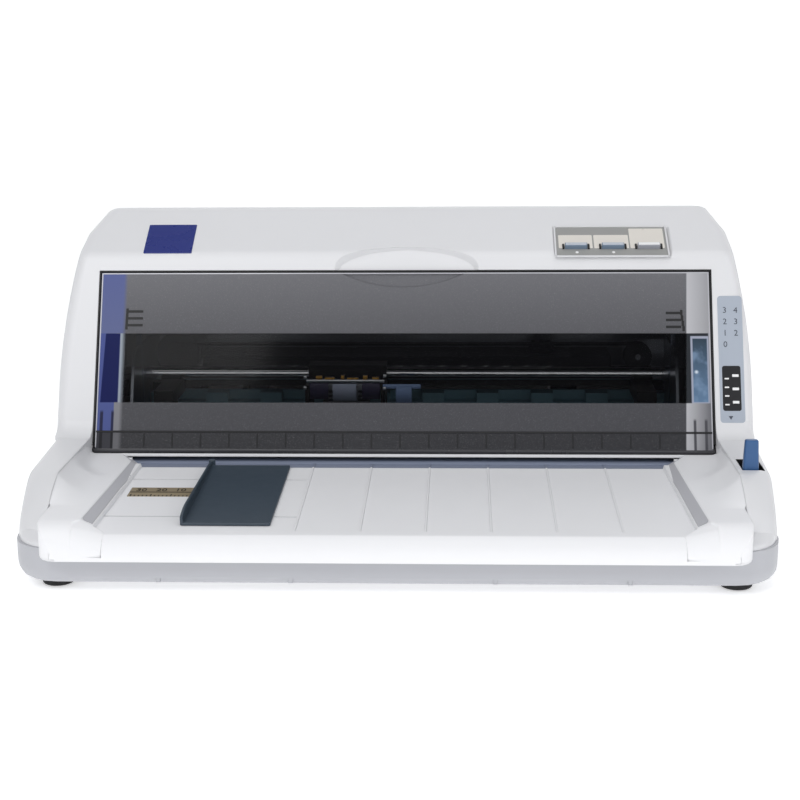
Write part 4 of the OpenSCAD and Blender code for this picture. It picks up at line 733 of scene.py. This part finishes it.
# painted shadow: black bars in the recess round the cover, where the gap lies in shade
gap_shadow = frame_bars(0.21315, 0.12938, 0.0012, 0.007, -0.006, -0.0001, 0.0002)
dress("window_gap_shadow", gap_shadow, "base", "black_plastic", gap_shade_black, 32)
# painted highlight: a thin pale strip along the sheet's edge
pale = frame_bars(0.2112, 0.12745, 0.0008, 0.004, -0.0012, 0.00012, 0.0001)
dress("cover_edge_highlight", pale, "cover", "cover_smoke", edge_painted_highlight, 32)
combs = comb_meshes(-1, 0.1927, 0.1923, 0.0870) + comb_meshes(1, 0.1934, 0.1916, 0.0856)
dress("comb_marks", combs, "cover", "cover_smoke", mark_dark)
print("bars in the seal, edge and marks", len(gap_shadow), len(pale), len(combs))

# %% [markdown]
# ## Keys and plates on the control face
# Three bar-shaped keys sit in a membrane panel with three pale fields. Each key is a rounded plate whose
# top is drawn in along a quarter circle, with a cap on it. The cap is a lighter tone and the sides a darker
# tone
# of one colour: painted light on the top and painted shade on the sides. Plain blocks would do from afar, but
# only a drawn-in edge catches a thin line of light. The square plate at the other end of the face is left
# blank.

# %% Panel fields, keys and the blank plate
label_grey = plastic("label_grey", "9C9C9A", 0.35, 0.04, 900.0, 4, 0.2)
field_cream = plastic("field_cream", "E6E1D9", 0.3, 0.05, 900.0, 4, 0.0)
key_top_painted_light = plastic("key_top_painted_light", "C3C9D2", 0.3, 0.03, 1500.0, 10, 0.3)
key_side_painted_shade = plastic("key_side_painted_shade", "6F8093", 0.38, 0.05, 1500.0, 10, 0.4)
key_grey_painted_shade = plastic("key_grey_painted_shade", "9A9CA4", 0.35, 0.04, 1500.0, 10, 0.4)
white_print_and_key_light = plastic("white_print_and_key_light", "F2F2F2", 0.4, 0.02, 1500.0, 4, 0.0)
badge_navy = plastic("badge_navy", "1B2A7A", 0.28, 0.12, 900.0, 4, 0.2, Coat_Weight=0.3)


def stick(name, mesh, finish, crisp=None):
    """A thin plate, mark or dot that is stuck to the housing."""
    return dress(name, mesh, "base", "panel_cream", finish, crisp)


sheet = plate_mesh(on_control, (0.1453, 0.01325), (0.0764, 0.0318), 0.0016, -0.0012, 0.00012, 0.0001)
stick("panel_label", sheet, label_grey, 32)
brims = [bar_mesh(on_control, *ends, -0.0003, 0.0007, 0.0004) for ends in (
    (0.1058, 0.1848, -0.0041, -0.0027), (0.1058, 0.1848, 0.0292, 0.0306),
    (0.1056, 0.1070, -0.0041, 0.0306), (0.1836, 0.1850, -0.0041, 0.0306))]
dress("panel_rim", brims, "base", "housing_white", crisp=32)
FIELDS = ((0.1086, 0.1322, 0.0202), (0.1332, 0.1574, 0.0202), (0.1583, 0.1822, 0.0274))
FIELD_LOW = 0.0055
fields = [plate_mesh(on_control, ((a + b) / 2, (FIELD_LOW + head) / 2), (b - a, head - FIELD_LOW), 0.0008,
                     0.0, 0.00026, 0.0001) for a, b, head in FIELDS]
stick("panel_fields", fields, field_cream)

KEY_WIDE, KEY_FOOT, KEY_DEEP, KEY_TALL = 0.0156, 0.0046, 0.0036, 0.0034
KEY_DRAW = 0.0010  # how much narrower the cap is
# painted light and shade: each key's top is a lighter and its sides a darker tone of one colour; the pause
# key's white top is painted light too
KEYS = (("feed", 0.1205, key_side_painted_shade, key_top_painted_light), ("load", 0.1461, key_side_painted_shade, key_top_painted_light),
        ("pause", 0.1710, key_grey_painted_shade, white_print_and_key_light))
for name, x, side, cap in KEYS:
    middle = KEY_FOOT + KEY_DEEP / 2
    lower = plate_mesh(on_control, (x, middle), (KEY_WIDE, KEY_DEEP), 0.0006, -0.0035, KEY_TALL, 0.0006)
    key = dress(name + "_button_cap", lower, name + "_key", "button_blue", side, 60)
    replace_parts(key, name + "_button")
    upper = plate_mesh(on_control, (x, middle + 0.0001), (KEY_WIDE - KEY_DRAW, KEY_DEEP - KEY_DRAW), 0.0005,
                       KEY_TALL - 0.0005, KEY_TALL + 0.00015, 0.0002)
    dress(name + "_button_face", upper, name + "_key", "button_blue", cap, 60)
# painted shade: black bars at both sides of each key, for the gaps beside it
key_gap_bars = [stripe_mesh(on_control, x + a, 0.0007, KEY_FOOT - 0.0002, KEY_FOOT + KEY_DEEP + 0.0012,
                       0.0, 0.0012, 0.0003) for _, x, _, _ in KEYS for a in (-0.0088, 0.0088)]
stick("key_gap_shade", key_gap_bars, gap_shade_black)

DOT = [(0.0, 0.0011), (0.0003, 0.0011), (0.0005, 0.0008), (0.00058, 0.0003)]
dots = [in_plane(turned_mesh(DOT, "z", (x, 0.0010, 0.0), 20), on_control) for x in (0.1210, 0.1463)]
stick("panel_dots", dots, white_print_and_key_light)

badge = plate_mesh(on_control, (-0.1660, 0.01745), (0.0342, 0.0320), 0.0007, -0.0004, 0.00035, 0.0002)
stick("blank_badge", badge, badge_navy, 32)
print("keys", len(KEYS), "fields", len(fields))

# %% [markdown]
# ## The scale beside the window
# A pale plate on the right pillar carries the scale of the paper thickness lever. An image could show it,
# but it would blur close up, so its digits are real letter shapes: a text curve becomes a mesh first, and
# then its points move onto the slope.

# %% Label plate, scale marks and digits
plate_blue = plastic("plate_blue", "AEB6C2", 0.35, 0.04, 900.0, 4, 0.2)
label_black = plastic("label_black", "1B1B1E", 0.4, 0.15, 900.0, 4, 0.2)
ink_grey = plastic("ink_grey", "4A4F5A", 0.5, 0.1, 900.0, 2, 0.0)


def digit_mesh(text, size, thick):
    """Points (across, up, out) and faces of raised digits, centred on their own middle."""
    curve = bpy.data.curves.new("digits", "FONT")
    curve.body, curve.size, curve.extrude = text, size, thick / 2
    curve.resolution_u = 3
    holder = link_object("digits", curve)
    bpy.context.view_layer.update()
    mesh = bpy.data.meshes.new_from_object(holder.evaluated_get(bpy.context.evaluated_depsgraph_get()))
    p = np.empty(len(mesh.vertices) * 3)
    mesh.vertices.foreach_get("co", p)
    p = p.reshape(-1, 3)
    faces = [list(f.vertices) for f in mesh.polygons]
    bpy.data.objects.remove(holder)
    bpy.data.curves.remove(curve)
    bpy.data.meshes.remove(mesh)
    return p - (p.max(0) + p.min(0)) / 2, faces


def placed_digits(rows, size, thick, plane_at):
    """Several digits, each at its (across, up, out)."""
    parts = []
    for text, x, s, n in rows:
        p, f = digit_mesh(text, size, thick)
        parts.append((plane_at(p[:, 0] + x, p[:, 1] + s, p[:, 2] + n), f))
    return parts


DIGIT_ROWS = (0.1005, 0.0925, 0.0845, 0.0765)
label = plate_mesh(on_window, (0.22495, 0.06625), (0.0167, 0.0885), 0.0022, -0.0004, 0.00025, 0.00015)
stick("scale_plate", label, plate_blue, 32)
under = plate_mesh(on_window, (0.22475, 0.0458), (0.0125, 0.0312), 0.0016, 0.0001, 0.00038, 0.0001)
stick("scale_black", under, label_black, 32)
marks = [bar_mesh(on_window, 0.2200, 0.2230, s - 0.0005, s + 0.0005, 0.0003, 0.00046, 0.00005)
         for s in (0.0345, 0.0405, 0.0465, 0.0525)]
marks += [bar_mesh(on_window, 0.2252, 0.2296, s - 0.0009, s + 0.0009, 0.0003, 0.00046, 0.00005)
          for s in (0.0362, 0.0454, 0.0546)]
stick("scale_marks", marks, white_print_and_key_light)
rows = [(d, 0.2213, s, 0.0003) for d, s in zip("3210", DIGIT_ROWS)]
rows += [(d, 0.2287, s, 0.0003) for d, s in zip("432", DIGIT_ROWS)]
stick("scale_digits", placed_digits(rows, 0.0058, 0.00012, on_window), ink_grey)
arrow = np.array([[0.2221, 0.0266], [0.2251, 0.0266], [0.2236, 0.0242]])
layers = [on_window(arrow[:, 0], arrow[:, 1], np.full(3, n)) for n in (0.0001, 0.0004)]
stick("scale_arrow", loft_mesh(layers), ink_grey)
print("scale marks", len(marks), "digits", len(rows))

# %% [markdown]
# ## Lever, knob and feet
# The release lever is a loft: a rounded rectangle whose half width falls from 5.3 mm at the pivot to
# 4.1 mm at the top, and whose outline draws in near the end. The paper knob is a turned part whose radius
# dips 18 times round the rim, r (1 - 0.05 g(18 a)), where g is a narrow groove. A bevelled box and a
# cylinder with cut grooves would serve too, but they would lack the softly rounded ends.

# %% Release lever
LEVER_X, LEVER_Y, LEVER_Z = 0.2221, -0.1060, 0.0282
TIP_Z, TIP_ROUND = 0.0776, 0.0012


def lever_rings():
    """Rounded rectangles at rising heights; near the top the outline draws in along a quarter circle."""
    heights = np.array([0, 3, 8, 14, 20, 26, 32, 38, 44, 48.0]) * MM + LEVER_Z
    heights = np.concatenate([heights, TIP_Z + TIP_ROUND * np.sin(np.linspace(0.2, math.pi / 2, 6))])
    half = np.interp(heights, [0.028, 0.052, 0.079], [0.0053, 0.0053, 0.0041])
    rings = []
    for z, w in zip(heights, half):
        t = np.clip((z - TIP_Z) / TIP_ROUND, 0, 1)
        inset = 0.0009 * (1 - math.sqrt(1 - min(t, 0.999) ** 2))
        bow = 0.0004 * math.sin((z - 0.028) / 0.051 * math.pi)
        o = rounded_outline(2 * (w - inset), 2 * (0.0024 + bow - inset * 0.8), 0.0014)
        rings.append(np.stack([LEVER_X + o[:, 0], LEVER_Y + o[:, 1], np.full(len(o), z)], -1))
    return loft_mesh(rings)


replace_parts(dress("release_lever_blade", lever_rings(), "release_lever", "lever_blue", crisp=50),
            "release_lever")
print("lever tip", TIP_Z + TIP_ROUND)

# %% Painted shade in the lever's slot
# painted shade: black walls inside the slot
slot_walls = [bar_mesh(on_floor, *ends, 0.0450, 0.0599, 0.00005) for ends in (
    (0.2166, 0.2304, -0.10990, -0.10965), (0.2166, 0.2304, -0.08435, -0.08410),
    (0.2166, 0.21685, -0.1099, -0.0841), (0.23015, 0.2304, -0.1099, -0.0841))]
dress("lever_slot_shade", slot_walls, "base", "black_plastic", gap_shade_black)
print("slot walls", len(slot_walls))


# %% Knurled paper knob and rounded feet
def grooves(around, ring):
    """1 with 18 narrow dips of 5%, on the rim only."""
    wave = np.clip((np.cos(18 * around) - 0.55) / 0.45, 0, 1)
    return 1 - (0.05 if 2 <= ring <= 9 else 0.0) * wave


KNOB_CENTRE = (0, 0.020, 0.0306)
KNOB = [(0.2230, 0.0090), (0.2230, 0.0132), (0.2234, 0.0143), (0.2242, 0.0149), (0.2250, 0.0150),
        (0.2340, 0.0150), (0.2362, 0.0149), (0.2376, 0.0146), (0.2386, 0.0140), (0.2392, 0.0130),
        (0.2395, 0.0118), (0.2393, 0.0108), (0.2384, 0.0100), (0.2380, 0.0090), (0.2380, 0.0030),
        (0.2384, 0.0024), (0.2384, 0.0004)]
knob = turned_mesh(KNOB, "x", KNOB_CENTRE, 216, grooves)
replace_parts(dress("paper_knob_rim", knob, "platen", "knob_grey", crisp=40), "paper_knob")

FOOT = [(0.0060, 0.0085), (0.0052, 0.0097), (0.0040, 0.0100), (0.0016, 0.0100), (0.0007, 0.0097),
        (0.0002, 0.0090), (0.0, 0.0080), (0.0, 0.0030), (0.0008, 0.0020)]
feet = [turned_mesh(FOOT, "z", (x, y, 0), 40) for x in (-0.207, 0.207) for y in (-0.154, 0.155)]
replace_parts(dress("feet_pads", feet, "base", "foot_rubber", crisp=40), "rubber_feet")
print("lever, knob and", len(feet), "feet")

# %% [markdown]
# ## Wings of the paper table
# On the real machine the bed lies in a shallow tray. A low rim and a sloping wall lead up to two flat
# wings, which run from the foot of the window to the nose of the table and sweep up into the shoulders. A
# wing is a stack of closed sections along the table. Each section holds the rim, the wall, the top with a
# rise t^p towards the shoulder, and the outer side. The power p grows from 2.6 to 11.6 towards the window,
# so that the top stays low beside the cover. Over the nose the sections follow a quarter ellipse downwards.
# A subdivided cage could take this shape too, but with sections the clearance to the cover is one formula.

# %% Sections of the wings
def smooth(t):
    """3 t^2 - 2 t^3 between 0 and 1."""
    t = np.clip(t, 0, 1)
    return t * t * (3 - 2 * t)


WING_BACK, WING_CREST = -0.0345, -0.1705
CREST_BACK, CREST_FRONT = 0.0488, 0.0456
NOSE_OUT, NOSE_DROP = 0.0144, 0.0204
RIM_WIDE, RIM_HIGH, WALL_WIDE = 0.0009, 0.0031, 0.0080
OUTER_X, OUTER_ROUND = 0.2001, 0.0120
SHOULDER_LOW, SHOULDER_RISE = 0.0285, 0.0315
COVER_PATH_Y, COVER_PATH_Z, COVER_PATH_SLOPE = -0.0320, 0.0477, 0.4296
COVER_PATH_X = 0.2134
SKIRT_TOP, WING_FOOT = 0.0250, 0.0245
turn = np.linspace(0, math.pi / 2, 22)[1:]
wing_y = np.concatenate([np.linspace(WING_BACK, WING_CREST, 70), WING_CREST - NOSE_OUT * np.sin(turn)])
wing_z = np.concatenate([np.linspace(CREST_BACK, CREST_FRONT, 70),
                         CREST_FRONT - NOSE_DROP * (1 - np.cos(turn))])


def tray_edge(y, crest):
    """At each y: the bed's height, the foot of the wall across, the height of the rim, and how far the
    section is over the nose, from 0 to 1. The foot stands 175 + 5.5 t mm from the middle and turns outward
    behind the bed."""
    nose = SKIRT_TOP + 0.0165 * np.sqrt(np.maximum(1 - (np.maximum(-0.1635 - y, 0) / 0.0215) ** 2, 0))
    flat = BED_Z + (y - BED_Y) * math.tan(math.radians(BED_TILT))
    bed = np.minimum(np.minimum(flat, nose), crest - 0.0004)
    foot = 0.1750 + 0.0055 * np.clip((BED_Y - y) / 0.134, 0, 1) + 0.58 * np.maximum(y - BED_Y, 0)
    over = np.clip((WING_CREST - y) / 0.004, 0, 1)
    return bed, foot - 0.008 * over, np.minimum(bed + RIM_HIGH * (1 - 0.97 * over), crest - 0.0003), over


def wing_mesh(side):
    """Sections (x, z) at each y: a low rim, a wall 8 mm wide with a rounded top, the rising top and the
    side. The top stays under the path of the opened cover, a plane that climbs 0.43 m forward per metre."""
    y, crest = wing_y[:, None], wing_z[:, None]
    bed, foot, rim_z, over = tray_edge(y, crest)
    brow = foot + WALL_WIDE + 0.012 * over
    outer = OUTER_X + np.sqrt(np.maximum(OUTER_ROUND ** 2 - np.minimum(y + 0.173, 0) ** 2, 4e-6))
    shoulder = SHOULDER_LOW + SHOULDER_RISE * np.clip((y + 0.161) / 0.040, 0, 1) ** 0.625
    rise = np.maximum(shoulder + 0.0001 - crest, 0)
    outer = outer + 0.0017 * np.clip(rise / 0.002, 0, 1)
    bend = np.linspace(0.15, 1, 6)[None, :]
    wall_x = brow + 0.0016 * (bend - 1)
    wall_z = crest - 0.0012 * (1 - bend) ** 2 * 1.4
    t = np.linspace(0.06, 1, 24)[None, :]
    power = 2.6 + 9.0 * smooth((y + 0.090) / 0.045)
    top_x, top_z = brow + (outer - brow) * t, crest + rise * t ** power
    path = np.maximum(COVER_PATH_Z + COVER_PATH_SLOPE * (COVER_PATH_Y - y), crest)
    top_z = np.where(top_x < COVER_PATH_X, np.minimum(top_z, path), top_z)
    low = np.minimum(WING_FOOT, crest - 0.0006)
    x = np.concatenate([foot, foot, foot + RIM_WIDE, wall_x, top_x, outer + 0.0002, outer + 0.0002,
                        foot + 0.001], 1)
    z = np.concatenate([bed - 0.0002, rim_z - 0.0002, rim_z, wall_z, top_z, top_z[:, -1:] - 0.0006, low,
                        np.maximum(bed - 0.0009, WING_FOOT)], 1)
    return loft_mesh(np.stack([side * x, np.broadcast_to(y, x.shape), z], -1))


def wall_mesh(side):
    """A thin facing on the sloping wall, in a darker grey that is painted shade. Its upper edge curves in at
    the front as sqrt(1 - t^2).
    """
    keep = wing_y > WING_CREST + 0.0001
    y, crest = wing_y[keep][:, None], wing_z[keep][:, None]
    _, foot, rim_z, _ = tray_edge(y, crest)
    t = np.clip((-0.1652 - y) / 0.0052, 0, 1)
    inner, outer = foot + RIM_WIDE, foot + WALL_WIDE - 0.0006
    reach = inner + (outer - inner) * np.sqrt(np.maximum(1 - t * t, 0.0016))
    slope = (crest - 0.0010 - rim_z) / (WALL_WIDE - 0.0014 - RIM_WIDE)
    k = np.linspace(0, 1, 5)[None, :]
    x = inner + (reach - inner) * k
    z = rim_z + slope * (x - inner) + 0.0003
    return loft_mesh(np.stack([side * np.concatenate([x, x[:, ::-1]], 1), np.broadcast_to(y, (len(y), 10)),
                               np.concatenate([z, z[:, ::-1] - 0.0003], 1)], -1))


def mirrored(shape):
    """The meshes of shape(side) for the right side, 1, and the left side, -1."""
    return [shape(1), shape(-1)]


wings = dress("table_wings", mirrored(wing_mesh), "base", "table_grey", crisp=50)
# painted shade: a darker grey facing on each sloping wall
wall_painted_shade = plastic("wall_painted_shade", "C2C2C7", 0.45, 0.025, 1500.0)
dress("tray_wall_shade", mirrored(wall_mesh), "base", "table_grey", wall_painted_shade, 50)
print("wings", len(wings.data.polygons))


# %% Skirts round the front corners
def skirt_mesh(side):
    """A closed band round the front corner: its foot follows the lower housing's corner of 27.4 mm radius
    and its head the shoulder's 15 mm one, with a quarter round between them. k is the share of the way."""
    turn = np.radians(np.linspace(14, 97, 30))
    rings = []
    for k, z in ((0.0, 0.0275), (0.0, 0.0300), (0.10, 0.0316), (0.35, 0.0336), (0.7, 0.0352), (1.0, 0.0366),
                 (1.0, 0.0275)):
        radius = 0.0274 - 0.0124 * k
        cx, cy = 0.2030 + 0.0115 * k, -0.1470 + 0.0070 * k
        rings.append(np.stack([side * (cx + radius * np.sin(turn)), cy - radius * np.cos(turn),
                               np.full(30, z)], -1))
    return loft_mesh(np.swapaxes(np.array(rings), 0, 1))


skirts = dress("shoulder_skirts", mirrored(skirt_mesh), "base", "housing_white", crisp=50)
print("skirts", len(skirts.data.polygons))

# %% [markdown]
# ## The sliding edge guide and the scale on the bed
# The edge guide is a slate tray with a low fence on its left edge, which the paper's side leans on. Its
# fence is 8.3 mm tall, and its top rounds down by 2.4 mm at the front end. On the bed beside it lies a
# printed scale for the paper's width. One sculpted mesh could hold all of the guide, but plates and a
# lofted fence that are joined into one piece keep each size apart, and they slide together.

# %% Edge guide and bed scale
FENCE_X, FENCE_FRONT, FENCE_END, TRAY_LOW = -0.1288, -0.0950, -0.1115, 0.0004


def fence_mesh():
    """The fence: its height grows along the bed as 4.4 + 3.9 t mm, and at its front end it loses
    2.4 t^2.2 mm."""
    up = np.concatenate([np.linspace(0.0004, FENCE_FRONT, 14), np.linspace(FENCE_FRONT, FENCE_END, 12)[1:]])
    fall = np.clip((FENCE_FRONT - up) / (FENCE_FRONT - FENCE_END), 0, 1)
    tall = 0.0044 + 0.0039 * np.clip(up / FENCE_FRONT, 0, 1) - 0.0024 * fall ** 2.2
    rings = []
    for u, h in zip(up, tall):
        a = np.array([0, 0, 0.0003, 0.0014, 0.0017, 0.0017])
        o = np.array([TRAY_LOW, h - 0.0003, h, h, h - 0.0003, TRAY_LOW])
        rings.append(on_bed(FENCE_X + a, np.full(6, u), o))
    return loft_mesh(rings)


tray = plate_mesh(on_bed, (-0.1015, -0.0563), (0.0546, 0.1110), 0.0008, TRAY_LOW, 0.0018, 0.0006)
rims = [bar_mesh(on_bed, -0.1280, -0.0745, s, s + 0.0012, 0.0016, 0.0020, 0.0003) for s in (-0.1116, -0.0018)]
stop = plate_mesh(on_bed, (-0.1272, 0.0004), (0.0044, 0.0022), 0.0008, 0.0010, 0.0058, 0.0008)
tabs = [bar_mesh(on_bed, -0.118, -0.088, u - 0.0006, u + 0.0006, -0.0028, 0.0008, 0.0002)
        for u in (-0.0951, -0.0250)]
guide = dress("edge_guide_tray", [tray, fence_mesh(), stop] + rims + tabs, "edge_guide", "guide_slate",
              crisp=40)
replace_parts(guide, "edge_guide")

scale_gold = plastic("scale_gold", "9A8C72", 0.45, 0.2, 500.0, 4, 0.0)
scale_dark = plastic("scale_dark", "1C1812", 0.5, 0.2, 900.0, 2, 0.0)
strip = plate_mesh(on_bed, (-0.1515, -0.0506), (0.0425, 0.0172), 0.0006, -0.0002, 0.00012, 0.00005)
stick("bed_scale", strip, scale_gold)
ticks = [bar_mesh(on_bed, -0.1722, -0.1308, -0.0514, -0.0504, 0.0001, 0.00026, 0.00004)]
for k in range(16):
    x, tall = -0.1710 + 0.0026 * k, 0.0042 if k % 5 == 0 else 0.0024
    ticks.append(bar_mesh(on_bed, x, x + 0.0007, -0.0590, -0.0590 + tall, 0.0001, 0.00026, 0.00004))
stick("bed_scale_ticks", ticks, scale_dark)
numbers = [(n, x, -0.0465, 0.00018) for n, x in (("30", -0.1655), ("20", -0.1525), ("10", -0.1395))]
stick("bed_scale_digits", placed_digits(numbers, 0.0072, 0.00014, on_bed), scale_dark)
print("edge guide faces", len(guide.data.polygons))

# %% [markdown]
# ## The mechanism behind the clear band
# What shows through the clear band is mostly shade, with a few bright things in it: the shaft, the front
# edges of the two side plates, and the carriage with its light rail, its boxes and a small bracket. The
# solids carry the large forms, so these pieces are trim that rides with them, and the inner mouldings are
# nearly black. A lamp inside could lift the details instead, but it would take away the shade round them.

# %% Darker inner mouldings
inner_black = plastic("inner_black", "0C0C0E", 0.6, 0.2, 1300.0, 20, 0.4)
for name in ("drive_pulley", "idler_pulley", "ribbon_knob"):
    nodes[name].data.materials[0] = inner_black
print("inner material", inner_black.name)

# %% Side plate edges, carriage rail and bracket
plate_edge = metal("plate_edge", "B9C3D6", 0.4, (60.0, 60.0, 700.0), 0.25)
rail_light = metal("rail_light", "EDF0F6", 0.35, (40.0, 900.0, 900.0), 0.12)
box_violet = plastic("box_violet", "3A3550", 0.35, 0.1)
box_pale = plastic("box_pale", "A9B2C8", 0.35, 0.1)
pin_gold = metal("pin_gold", "C89A4A", 0.3, (300.0, 300.0, 300.0), 0.15)
bracket_blue = plastic("bracket_blue", "8FA9D6", 0.4, 0.12, 900.0)


def upright(x0, x1, y0, y1, z0, z1):
    """An upright bar between two corners, with a rounded upper rim."""
    return bar_mesh(on_floor, x0, x1, y0, y1, z0, z1, 0.0003)


PLATE_X, RAIL_Z, CARRIAGE_FACE = 0.1905, 0.0938, -0.0021
edges = [stripe_mesh(on_floor, x, 0.0018, 0.0285, 0.0310, 0.066, 0.1250, 0.0003) for x in (-PLATE_X, PLATE_X)]
dress("side_plate_edges", edges, "base", "sheet_steel", plate_edge)

rail = [upright(-0.0672, -0.0128, -0.0030, CARRIAGE_FACE, 0.0918, RAIL_Z)]
rail += [stripe_mesh(on_floor, x, 0.0011, -0.0034, CARRIAGE_FACE, z, z + 0.0022, 0.0006)
         for x, z in ((-0.0680, 0.0945), (-0.0683, 0.0868), (-0.0125, 0.0955), (-0.0128, 0.0865))]
dress("carriage_rail", rail, "carriage", "steel", rail_light)
gold = [stripe_mesh(on_floor, x, w, -0.0026, 0.0012, RAIL_Z, RAIL_Z + h, 0.0002)
        for x, w, h in ((-0.0585, 0.0022, 0.0022), (-0.0510, 0.0035, 0.0012), (-0.0420, 0.0012, 0.0026),
                        (-0.0350, 0.0040, 0.0010), (-0.0262, 0.0016, 0.0024), (-0.0190, 0.0024, 0.0014))]
dress("carriage_pins", gold, "carriage", "pinion_brass", pin_gold)
boxes = [upright(a, b, -0.0029, CARRIAGE_FACE, 0.0800, 0.0912)
         for a, b in ((-0.0650, -0.0520), (-0.0285, -0.0160))]
dress("carriage_boxes", boxes, "carriage", "black_plastic", box_violet)
opening = upright(-0.0490, -0.0325, -0.0031, CARRIAGE_FACE, 0.0790, 0.0908)
dress("carriage_window", opening, "carriage", "sheet_steel", box_pale)
arms = [upright(-0.0140, 0.0125, -0.0016, -0.0004, 0.0872, 0.0902),
        upright(-0.0050, 0.0062, -0.0018, -0.0004, 0.0740, 0.0880)]
dress("carriage_bracket", arms, "carriage", "sheet_steel", bracket_blue)
print("pins on the carriage", len(gold))

# %% [markdown]
# ## Painted light under the window bar
# The blue-grey paper guide runs on under the window bar, where the bar shades it. A lighter material on the
# whole solid would show past the bar too. So a thin sheet lies on it, two tenths of a millimetre above the
# solid and a
# shade lighter: painted light that keeps the colour in the shade of the bar.

# %% Painted light on the paper inlet
INLET_LIGHT_HALF = 0.1855
# painted light: a lighter slate where the window bar shades the guide
slate_painted_light = plastic("slate_painted_light", "8C95AA", 0.45, 0.06, 1300.0)
inlet_light = bar_mesh(on_floor, -INLET_LIGHT_HALF, INLET_LIGHT_HALF, -0.0400, -0.0243, 0.0430, 0.0436, 0.0001)
dress("inlet_painted_light", inlet_light, "base", "inlet_slate", slate_painted_light)
print("lining width", 2 * INLET_LIGHT_HALF)

# %% [markdown]
# ## Floor and light
# The machine stands on a white floor that meets a white backdrop. The floor keeps the soft contact shadow.
# The world is white only for camera rays, so the pale walls of the machine are lit by the lamps and a weak
# even light, and keep their shades. A bright world alone could light it as well, but then every wall would
# have nearly the same tone.

# %% Floor and backdrop
FLOOR_LOW = 0.0002


def sweep_floor():
    """A floor that bends up into a wall: flat to the bend, a quarter circle of radius r, then upright."""
    r, back = 0.6, 2.2
    bend = np.linspace(0, math.pi / 2, 16)
    y = np.concatenate([[-4.0, -1.0, 0.0, 1.0], back + r * np.sin(bend), [back + r]])
    z = np.concatenate([[0.0] * 4, r * (1 - np.cos(bend)), [4.0]])
    x, y = np.meshgrid(np.linspace(-4.5, 4.5, 7), y)
    z = np.repeat(z[:, None], 7, 1)
    return np.stack([x, y, z - FLOOR_LOW], -1).reshape(-1, 3), grid_quads(len(z), 7, False).tolist()


floor = link_object("floor", smooth_mesh("floor", *sweep_floor()))
paper, tree = new_material("floor_white")
shade = blend(tree, noise(tree, 3.0), "F8F8F8", "FFFFFF")
diffuse = add(tree, "BsdfDiffuse", {"Color": shade})
shine = add(tree, "Emission", {"Color": shade, "Strength": 0.45})
mixed = add(tree, "AddShader", {0: diffuse.outputs[0], 1: shine.outputs[0]})
add(tree, "OutputMaterial", {"Surface": mixed.outputs[0]})
floor.data.materials.append(paper)
print("floor faces", len(floor.data.polygons))

# %% World and lamps
world = bpy.data.worlds.new("studio")
bpy.context.scene.world = world
world.use_nodes = True
tree = world.node_tree
tree.nodes.clear()
seen = add(tree, "LightPath").outputs["Is Camera Ray"]
lit = add(tree, "Background", {"Color": linear("EEF1F6"), "Strength": 0.34})
plain = add(tree, "Background", {"Color": WHITE, "Strength": 1.0})
choice = add(tree, "MixShader", {0: seen, 1: lit.outputs[0], 2: plain.outputs[0]})
add(tree, "OutputWorld", {"Surface": choice.outputs[0]})


def lamp(name, where, target, size, watts):
    """A soft rectangular lamp that faces a target."""
    data = bpy.data.lights.new(name, "AREA")
    data.shape = "RECTANGLE"
    data.size, data.size_y = size
    data.energy = watts
    light = link_object(name, data)
    light.location = where
    light.rotation_euler = (Vector(target) - Vector(where)).to_track_quat("-Z", "Y").to_euler()


lamp("key", (-0.9, -1.5, 1.8), (0, 0, 0.08), (1.4, 1.0), 13.5)
lamp("fill", (1.7, -1.2, 0.9), (0, 0, 0.1), (1.2, 1.2), 6)
lamp("front", (0.0, -2.2, 0.5), (0, 0, 0.06), (2.2, 0.6), 7)
lamp("top", (0.1, -0.3, 2.0), (0, 0, 0.1), (1.6, 1.2), 8.5)
scene = bpy.context.scene
scene.view_settings.view_transform = "Standard"
scene.render.resolution_x = scene.render.resolution_y = 800
print("lamps", len(bpy.data.lights))
